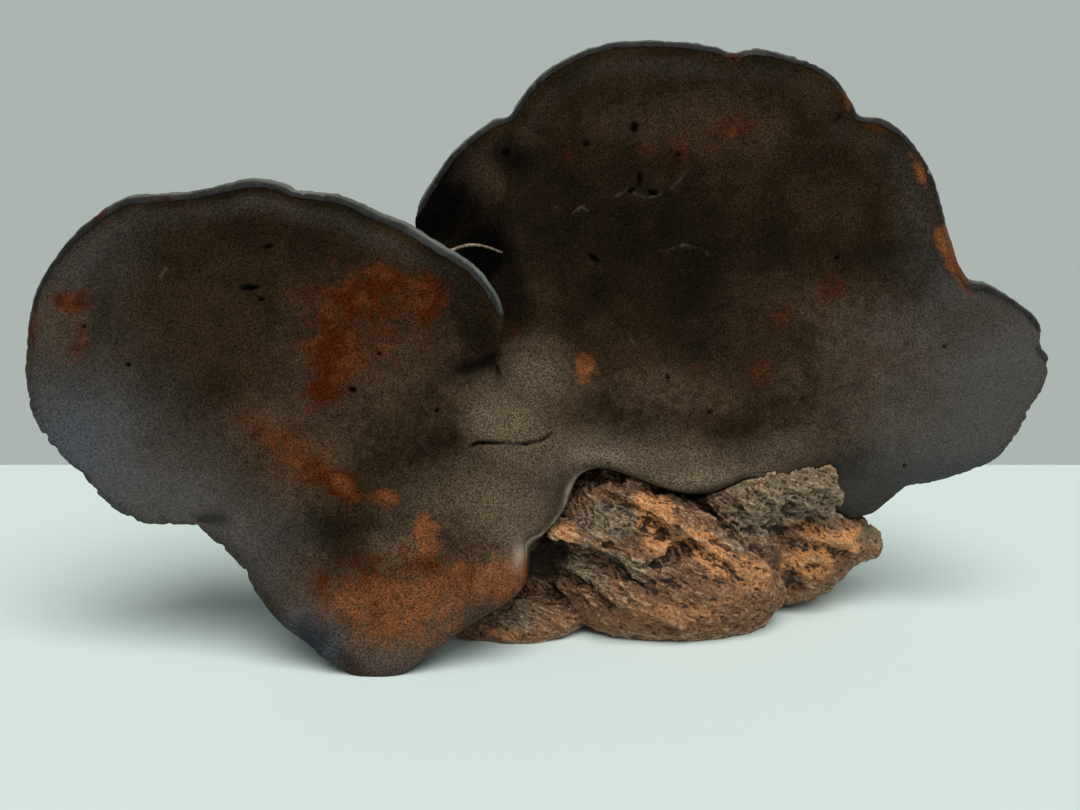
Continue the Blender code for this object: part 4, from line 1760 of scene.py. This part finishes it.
@dataclass
class Bench:
    """Workbench on which the nodes of one material are laid out."""

    tree: bpy.types.NodeTree

    def add(self, kind: str, links: dict[str, object] | None = None, **settings: object) -> bpy.types.Node:
        """A node with its settings and inputs.

        Args:
            kind: The node's type.
            links: Input names with a socket to link or a value to set.
            settings: The node's own settings.

        Returns:
            The node.
        """
        node = self.tree.nodes.new(kind)
        for key, value in settings.items():
            setattr(node, key, value)
        for name, value in (links or {}).items():
            self.feed(node.inputs[int(name)] if name.isdigit() else node.inputs[name], value)
        return node

    def place(self) -> bpy.types.NodeSocket:
        """The piece's own coordinates."""
        return self.add("ShaderNodeTexCoord").outputs["Object"]

    def mask(self, name: str) -> bpy.types.NodeSocket:
        """A mask that the mesh keeps under this name."""
        return self.add("ShaderNodeAttribute", attribute_name=name).outputs["Fac"]

    def part(self, name: str, share: float) -> bpy.types.NodeSocket:
        """A share of a mask."""
        return self.sum("MULTIPLY", self.mask(name), share)

    def frayed(self, name: str, fray: object, rough: float) -> bpy.types.NodeSocket:
        """A mask with its rims broken up by noise.

        Args:
            name: The mask's name.
            fray: Noise about 0.
            rough: How strongly the noise works.

        Returns:
            The mask.
        """
        share = self.sum("ADD", self.mask(name), self.sum("MULTIPLY", fray, rough), True)
        return self.sum("MULTIPLY", share, self.span(self.mask(name), 0.0, 0.15))

    def noise(
        self, size: float, detail: float = 4.0, rough: float = 0.55, where: object = None
    ) -> bpy.types.NodeSocket:
        """Noise whose lumps are about this size in millimetres.

        Args:
            size: Size of the largest lumps.
            detail: How many finer layers it has.
            rough: Strength of the finer layers.
            where: Coordinates to read, the piece's own if left out.

        Returns:
            The noise between 0 and 1.
        """
        links = {"Vector": where or self.place(), "Scale": 1.0 / (size * MM)}
        links |= {"Detail": detail, "Roughness": rough}
        return self.add("ShaderNodeTexNoise", links).outputs["Fac"]

    def cells(self, size: float) -> bpy.types.NodeSocket:
        """Distance to the middle of the nearest cell of this size in millimetres."""
        links = {"Vector": self.place(), "Scale": 1.0 / (size * MM)}
        return self.add("ShaderNodeTexVoronoi", links).outputs["Distance"]

    def stretch(self, turn: float, long: float) -> bpy.types.NodeSocket:
        """Coordinates that draw a pattern out along the fibres.

        Args:
            turn: Fall of the fibres to the right, in degrees.
            long: How many times longer the pattern is along them.

        Returns:
            The coordinates.
        """
        links = {"Vector": self.place(), "Rotation": (0.0, math.radians(-turn), 0.0)}
        turned = self.add("ShaderNodeMapping", links, vector_type="POINT").outputs[0]
        links = {"Vector": turned, "Scale": (1.0 / long, 1.0, 1.0)}
        return self.add("ShaderNodeMapping", links, vector_type="POINT").outputs[0]

    def span(
        self, value: object, low: float, high: float, start: object = 0.0, end: object = 1.0
    ) -> bpy.types.NodeSocket:
        """Value mapped from low..high to start..end, smooth at both ends.

        Args:
            value: The socket to map.
            low: Value that gives start.
            high: Value that gives end.
            start: Result at low.
            end: Result at high.

        Returns:
            The mapped value.
        """
        links = {"Value": value, "From Min": low, "From Max": high, "To Min": start, "To Max": end}
        return self.add("ShaderNodeMapRange", links, interpolation_type="SMOOTHSTEP").outputs["Result"]

    def sum(self, kind: str, a: object, b: object, clamp: bool = False) -> bpy.types.NodeSocket:
        """Two values put together.

        Args:
            kind: The sum to do, such as MULTIPLY.
            a: First value or socket.
            b: Second value or socket.
            clamp: Keep the result within 0 and 1.

        Returns:
            The result.
        """
        return self.add("ShaderNodeMath", {"0": a, "1": b}, operation=kind, use_clamp=clamp).outputs[0]

    def mix(self, share: object, under: object, over: object) -> bpy.types.NodeSocket:
        """One colour over another.

        Args:
            share: How much of the upper colour shows.
            under: Lower colour or socket.
            over: Upper colour or socket.

        Returns:
            The mixed colour.
        """
        paint = [(*c, 1.0) if isinstance(c, tuple) else c for c in (under, over)]
        links = {"0": share, "6": paint[0], "7": paint[1]}
        return self.add("ShaderNodeMix", links, data_type="RGBA").outputs[2]

    def shade(self, colour: object, factor: object) -> bpy.types.NodeSocket:
        """A colour made lighter or darker.

        Args:
            colour: The colour.
            factor: What it is multiplied by.

        Returns:
            The new colour.
        """
        links = {"0": colour, "Scale": factor}
        return self.add("ShaderNodeVectorMath", links, operation="SCALE").outputs[0]

    def grain(
        self, colour: object, size: float, detail: float, span: tuple[float, float], power: object = 1.0
    ) -> tuple[bpy.types.NodeSocket, bpy.types.NodeSocket]:
        """The shared fine grain laid over a colour.

        Args:
            colour: The colour.
            size: Size of the specks in millimetres.
            detail: How many finer layers they have.
            span: Factors of the darkest and the lightest specks.
            power: How strongly the grain shows.

        Returns:
            The colour with its grain, and the grain's height.
        """
        links = {"Place": self.place(), "Colour": colour, "Size": size, "Detail": detail}
        links |= {"Low": span[0], "High": span[1], "Power": power}
        node = self.add("ShaderNodeGroup", links, node_tree=grain_group())
        return node.outputs["Colour"], node.outputs["Height"]

    def feed(self, socket: bpy.types.NodeSocket, value: object) -> None:
        """Link the value to the socket if it is a socket too, or else set it.

        Args:
            socket: The socket.
            value: A socket or a plain value.
        """
        if isinstance(value, bpy.types.NodeSocket):
            self.tree.links.new(value, socket)
        else:
            socket.default_value = value

    def bump(
        self, height: object, depth: float, strength: float, under: object = None
    ) -> bpy.types.NodeSocket:
        """Normals raised by a height.

        Args:
            height: The height between 0 and 1.
            depth: What a height of 1 stands for, in millimetres.
            strength: How strongly it shows.
            under: Normals to add to.

        Returns:
            The normals.
        """
        links = {"Height": height, "Distance": depth * MM, "Strength": strength}
        if under is not None:
            links["Normal"] = under
        return self.add("ShaderNodeBump", links).outputs["Normal"]


def grain_group() -> bpy.types.NodeTree:
    """The fine grain that the materials share: specks that are lighter and darker.

    Returns:
        The node group. Its Size is the specks' size in millimetres.
    """
    tree = bpy.data.node_groups.get("grain")
    if tree is not None:
        return tree
    tree = bpy.data.node_groups.new("grain", "ShaderNodeTree")
    kinds = {"Place": "NodeSocketVector", "Colour": "NodeSocketColor"}
    for name in ("Place", "Colour", "Size", "Detail", "Low", "High", "Power"):
        kind = kinds.get(name, "NodeSocketFloat")
        tree.interface.new_socket(name, in_out="INPUT", socket_type=kind)
    tree.interface.new_socket("Colour", in_out="OUTPUT", socket_type="NodeSocketColor")
    tree.interface.new_socket("Height", in_out="OUTPUT", socket_type="NodeSocketFloat")
    bench = Bench(tree)
    given = bench.add("NodeGroupInput").outputs
    scale = bench.sum("DIVIDE", 1.0 / MM, given["Size"])
    links = {"Vector": given["Place"], "Scale": scale, "Detail": given["Detail"], "Roughness": 0.7}
    speck = bench.add("ShaderNodeTexNoise", links).outputs["Fac"]
    shade = bench.span(speck, 0.3, 0.7, given["Low"], given["High"])
    shade = bench.sum("POWER", shade, given["Power"])
    bench.add("NodeGroupOutput", {"Colour": bench.shade(given["Colour"], shade), "Height": speck})
    return tree


def new_material(name: str) -> tuple[bpy.types.Material, Bench, bpy.types.Node]:
    """An empty Principled material.

    Args:
        name: Its name.

    Returns:
        The material, its bench and its shader.
    """
    made = bpy.data.materials.new(name)
    made.use_nodes = True
    return made, Bench(made.node_tree), made.node_tree.nodes["Principled BSDF"]


@dataclass(frozen=True)
class FungusFinish:
    """Dry pore face and crust of the fungus."""

    pore_size: float = 0.52
    pore_dark: Colour = (0.0085, 0.0058, 0.0030)
    pore_warm: Colour = (0.0190, 0.0110, 0.0052)
    # Pale tan of the dust and of the painted sheen.
    pale: Colour = (0.088, 0.063, 0.040)
    # Grey of the bloom and of the painted sheen.
    grey: Colour = (0.048, 0.043, 0.038)
    warm: Colour = (0.058, 0.035, 0.021)
    # Bluish grey of the painted sheen.
    cool_sheen: Colour = (0.040, 0.045, 0.053)
    rust: Colour = (0.125, 0.043, 0.016)
    deep_rust: Colour = (0.031, 0.0060, 0.0010)
    # Near black of the sooty stains and of painted shade.
    soot_and_shade: Colour = (0.0015, 0.0014, 0.0013)
    thread: Colour = (0.082, 0.064, 0.042)
    # Pale of the lip's edge and of its painted highlight.
    lip_highlight: Colour = (0.270, 0.230, 0.175)
    rim: Colour = (0.008, 0.0075, 0.0065)
    worn_rim: Colour = (0.036, 0.034, 0.029)
    # Light grey of the painted highlight on the top of the rim.
    rim_highlight_tone: Colour = (0.150, 0.155, 0.138)
    crust_dark: Colour = (0.018, 0.021, 0.021)
    crust_grey: Colour = (0.088, 0.086, 0.077)
    crust_brown: Colour = (0.036, 0.024, 0.018)

    def pore_tone(self, bench: Bench, fray: bpy.types.NodeSocket) -> bpy.types.NodeSocket:
        """Colour of the pore face.

        Args:
            bench: The bench to lay nodes on.
            fray: Noise about 0 that breaks up the rims of patches.

        Returns:
            The colour.
        """
        blotch = bench.span(bench.noise(30.0, 6.0, 0.62), 0.36, 0.66)
        colour = bench.mix(blotch, self.pore_dark, self.pore_warm)
        # Painted highlight on the ring just inside the rim.
        colour = bench.mix(bench.part("inner", 0.4), colour, self.grey)
        # The grey and pale tones carry painted sheen in part, the bluish one wholly.
        layers = {"grey": (self.grey, 0.2), "warm": (self.warm, 0.5), "pale": (self.pale, 0.3)}
        layers |= {"cool_sheen": (self.cool_sheen, 0.1)}
        for name, (tone, rough) in layers.items():
            colour = bench.mix(bench.frayed(name, fray, rough), colour, tone)
        light = bench.sum("MAXIMUM", bench.mask("pale"), bench.mask("warm"))
        light = bench.sum("MAXIMUM", light, bench.mask("bright"))
        patchy = bench.span(bench.noise(7.0, 6.0, 0.65), 0.38, 0.62, -0.12, 0.22)
        light = bench.sum("ADD", bench.span(light, 0.35, 0.95, 0.0, 0.85), patchy, True)
        tone = bench.mix(light, self.deep_rust, self.rust)
        rust = bench.sum("ADD", bench.mask("rust"), bench.sum("MULTIPLY", fray, 1.1))
        within = bench.span(bench.mask("rust"), 0.0, 0.3)
        rust = bench.sum("MULTIPLY", bench.span(rust, 0.12, 1.0, 0.0, 0.97), within)
        colour = bench.mix(rust, colour, tone)
        # Sooty stains and painted shade go over everything else.
        return bench.mix(bench.frayed("soot_and_shade", fray, 0.25), colour, self.soot_and_shade)

    def crust_tone(self, bench: Bench) -> bpy.types.NodeSocket:
        """Colour of the crust behind and of the band along the margin.

        Args:
            bench: The bench to lay nodes on.

        Returns:
            The colour.
        """
        zone = bench.span(bench.mask("zone"), 0.2, 0.9)
        crust = bench.mix(zone, self.crust_brown, self.crust_grey)
        crust = bench.mix(bench.span(bench.noise(16.0, 6.0, 0.68), 0.42, 0.68), crust, self.crust_dark)
        rim = bench.mix(bench.span(bench.noise(14.0, 5.0, 0.65), 0.46, 0.72), self.rim, self.worn_rim)
        # Painted highlight along the top of the rim.
        rim = bench.mix(bench.mask("rim_highlight"), rim, self.rim_highlight_tone)
        return bench.mix(bench.span(bench.mask("back"), 0.0, 0.8), rim, crust)

    def gloss(self, bench: Bench, keep: bpy.types.NodeSocket) -> bpy.types.NodeSocket:
        """How much the skin mirrors: grey places and crust a little, the sooty and painted-shade places not
        at all.

        Args:
            bench: The bench to lay nodes on.
            keep: Where the crust shows.

        Returns:
            The level.
        """
        clean = bench.sum("SUBTRACT", 1.0, bench.mask("soot_and_shade"), True)
        gloss = bench.sum("MULTIPLY", bench.span(bench.mask("grey"), 0.15, 0.9, 0.01, 0.20), clean)
        gloss = bench.sum("MAXIMUM", gloss, bench.sum("MULTIPLY", keep, 0.16))
        return bench.sum("MAXIMUM", gloss, bench.mask("shine"))

    def material(self) -> bpy.types.Material:
        """Lay out the finish.

        Returns:
            The material.
        """
        made, bench, shader = new_material("fungus_crust")
        pores = bench.cells(self.pore_size)
        fray = bench.sum("MULTIPLY", bench.sum("SUBTRACT", bench.noise(4.0, 7.0, 0.72), 0.5), 2.2)
        colour = self.pore_tone(bench, fray)
        power = bench.span(bench.mask("pale"), 0.1, 0.8, 1.0, 1.35)
        power = bench.sum("SUBTRACT", power, bench.part("grey", 0.4))
        colour, speck = bench.grain(colour, 0.6, 2.0, (0.4, 1.85), power)
        walls = bench.sum("POWER", bench.span(pores, 0.0, 0.5, 0.45, 1.2), power)
        colour = bench.shade(colour, walls)
        colour = bench.mix(bench.part("thread", 0.6), colour, self.thread)
        # Pale edge of the lip and its painted highlight.
        colour = bench.mix(bench.part("lip_highlight", 0.9), colour, self.lip_highlight)
        edge = bench.sum("ADD", bench.mask("crust"), bench.sum("MULTIPLY", fray, 0.15), True)
        clean = bench.span(bench.mask("rust"), 0.4, 0.7, 1.0, 0.2)
        keep = bench.sum("MULTIPLY", bench.span(edge, 0.35, 0.65), clean)
        colour = bench.mix(keep, colour, self.crust_tone(bench))
        # Painted shade in the pits, crack, nicks, undercut, worm holes and groove.
        colour = bench.mix(bench.mask("dark"), colour, self.soot_and_shade)
        rough = bench.span(keep, 0.0, 1.0, 0.72, 0.55)
        normal = bench.bump(bench.noise(5.0, 5.0, 0.6), 0.5, 0.35)
        normal = bench.bump(pores, 0.25, 0.5, normal)
        bench.feed(shader.inputs["Base Color"], colour)
        bench.feed(shader.inputs["Roughness"], bench.sum("SUBTRACT", rough, bench.part("shine", 0.25)))
        bench.feed(shader.inputs["Specular IOR Level"], self.gloss(bench, keep))
        bench.feed(shader.inputs["Normal"], bench.bump(speck, 0.2, 0.4, normal))
        return made


@dataclass(frozen=True)
class TornFinish:
    """Rust-brown torn woody tissue, orange where fresh and ashen where old."""

    fibre_turn: float = 28.0
    body: Colour = (0.185, 0.082, 0.037)
    fresh: Colour = (0.440, 0.180, 0.058)
    ashen: Colour = (0.135, 0.094, 0.055)
    # Pale of the fibres and of the painted highlight on the crests.
    pale: Colour = (0.390, 0.282, 0.175)
    # Painted shade in the hollows.
    dark: Colour = (0.018, 0.012, 0.009)

    def material(self) -> bpy.types.Material:
        """Lay out the finish.

        Returns:
            The material.
        """
        made, bench, shader = new_material("torn_wood")
        along = bench.stretch(self.fibre_turn, 7.0)
        fibres = bench.noise(1.3, 5.0, 0.65, along)
        mottle = bench.noise(6.0, 6.0, 0.65)
        fray = bench.sum("MULTIPLY", bench.sum("SUBTRACT", bench.noise(2.2, 5.0, 0.7), 0.5), 1.2)
        shaded = tuple(0.62 * c for c in self.body)
        colour = bench.mix(bench.span(mottle, 0.35, 0.65), self.body, shaded)
        fresh = bench.span(bench.sum("ADD", bench.mask("fresh"), fray), 0.25, 0.9)
        colour = bench.mix(fresh, colour, self.fresh)
        ashen = bench.span(bench.sum("ADD", bench.mask("ashen"), fray), 0.3, 0.85)
        colour = bench.mix(ashen, colour, self.ashen)
        # Pale fibres and painted highlight on the crests.
        crest = bench.sum("MULTIPLY", bench.mask("crest"), bench.span(fibres, 0.35, 0.65))
        colour = bench.mix(bench.sum("MULTIPLY", crest, 0.62), colour, self.pale)
        # Painted shade in the hollows.
        hollow = bench.sum("ADD", bench.mask("hollow"), bench.sum("MULTIPLY", fray, 0.3))
        hollow = bench.sum("MULTIPLY", bench.span(hollow, 0.1, 0.95), 0.9)
        colour = bench.mix(hollow, colour, self.dark)
        colour, grit = bench.grain(colour, 0.8, 3.0, (0.62, 1.4))
        colour = bench.shade(colour, bench.span(fibres, 0.3, 0.7, 0.7, 1.25))
        normal = bench.bump(grit, 0.35, 0.55, bench.bump(fibres, 0.5, 0.5))
        bench.feed(shader.inputs["Base Color"], colour)
        bench.feed(shader.inputs["Roughness"], 0.85)
        bench.feed(shader.inputs["Specular IOR Level"], 0.3)
        bench.feed(shader.inputs["Normal"], normal)
        return made


@dataclass(frozen=True)
class RootletFinish:
    """Pale brown dry rootlet."""

    pale: Colour = (0.30, 0.23, 0.16)
    brown: Colour = (0.10, 0.06, 0.035)

    def material(self) -> bpy.types.Material:
        """Lay out the finish.

        Returns:
            The material.
        """
        made, bench, shader = new_material("rootlet")
        colour = bench.mix(bench.span(bench.noise(1.6), 0.35, 0.65), self.pale, self.brown)
        colour, grit = bench.grain(colour, 0.5, 4.0, (0.8, 1.2))
        bench.feed(shader.inputs["Base Color"], colour)
        bench.feed(shader.inputs["Roughness"], 0.7)
        bench.feed(shader.inputs["Normal"], bench.bump(grit, 0.1, 0.4))
        return made


def finishes() -> dict[str, bpy.types.Material]:
    """The finish of each piece, by the piece's name."""
    coats = {"torn_base": TornFinish(), "fungus_fans": FungusFinish(), "rootlet": RootletFinish()}
    return {piece: coat.material() for piece, coat in coats.items()}


def dress(item: bpy.types.Object, finish: bpy.types.Material) -> None:
    """Give the piece its material and smooth shading.

    Args:
        item: The piece's object.
        finish: The material.
    """
    item.data.materials.clear()
    item.data.materials.append(finish)
    make_active(item)
    bpy.ops.object.shade_smooth()


@dataclass
class Studio:
    """Pale table, soft light from above and in front, and the camera."""

    lens: float = 38.33
    eye: Point = (-37.0, -435.0, 152.0)
    fall: float = 9.0
    table: Colour = (0.66, 0.76, 0.72)
    beyond: Colour = (0.40, 0.44, 0.42)
    table_size: float = 8.0
    table_end: float = 0.281
    window_side: Point = (0.16, -0.70, 1.0)
    window_angle: float = 50.0
    window_power: float = 3.35
    wall: float = 0.46
    ceiling: float = 0.16

    def floor(self) -> None:
        """The pale table top."""
        deselect_all()
        bpy.ops.mesh.primitive_plane_add(size=self.table_size, location=(0.0, 0.0, 0.0))
        top = bpy.context.active_object
        top.name = "table_top"
        made, bench, shader = new_material("table_top")
        depth = bench.add("ShaderNodeSeparateXYZ", {"0": bench.place()}).outputs["Y"]
        far = bench.span(depth, self.table_end - 0.002, self.table_end + 0.002)
        colour = bench.mix(far, self.table, self.beyond)
        bench.feed(shader.inputs["Base Color"], colour)
        bench.feed(shader.inputs["Roughness"], 0.8)
        top.data.materials.append(made)

    def window(self) -> None:
        """A soft light from far away, as from a large window."""
        data = bpy.data.lights.new("window", "SUN")
        data.angle, data.energy = math.radians(self.window_angle), self.window_power
        lamp = bpy.data.objects.new("window", data)
        lamp.location = self.window_side
        lamp.rotation_euler = Vector(self.window_side).to_track_quat("Z", "Y").to_euler()
        bpy.context.scene.collection.objects.link(lamp)

    def surroundings(self) -> bpy.types.World:
        """A room whose walls are brighter than its ceiling.

        Returns:
            The world, its strength set by height.
        """
        world = bpy.data.worlds.new("room")
        world.use_nodes = True
        bench = Bench(world.node_tree)
        back = world.node_tree.nodes["Background"]
        back.inputs["Color"].default_value = (0.90, 1.0, 0.95, 1.0)
        sight = bench.add("ShaderNodeTexCoord").outputs["Generated"]
        up = bench.add("ShaderNodeSeparateXYZ", {"0": sight}).outputs["Z"]
        bench.feed(back.inputs["Strength"], bench.span(up, 0.19, 0.40, self.wall, self.ceiling))
        return world

    def build(self) -> None:
        """Floor, light, surroundings and camera."""
        self.floor()
        self.window()
        scene = bpy.context.scene
        scene.world = self.surroundings()
        scene.view_settings.view_transform = "Standard"
        data = bpy.data.cameras.new("camera")
        data.sensor_width, data.lens = 36.0, self.lens
        data.clip_start, data.clip_end = 0.01, 50.0
        camera = bpy.data.objects.new("camera", data)
        camera.location = Vector(self.eye) * MM
        camera.rotation_euler = (math.radians(90.0 - self.fall), 0.0, 0.0)
        scene.collection.objects.link(camera)
        scene.camera = camera


def main() -> None:
    """Build the dressed fungus and its studio."""
    logging.basicConfig(level=logging.INFO, format="%(message)s")
    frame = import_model()
    LOG.info("nodes: %s", ", ".join(frame["nodes"]))
    Studio().build()
    fans = FusedFans().build()
    cut_flat(fans)
    torn = TornBase()
    base = torn.build(fans)
    torn.tone(base)
    rootlet = Rootlet().build()
    coats = finishes()
    for piece in (fans, base, rootlet):
        dress(piece, coats[piece.name])
    for piece, slot in ((fans, Slot.CRUST), (base, Slot.TORN), (rootlet, Slot.TORN)):
        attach(piece, "root")
        count = sum(len(face.vertices) - 2 for face in piece.data.polygons)
        LOG.info("%s: %d triangles", piece.name, count)
    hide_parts("bracket")
    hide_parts("woody_base")


if __name__ == "__main__":
    main()
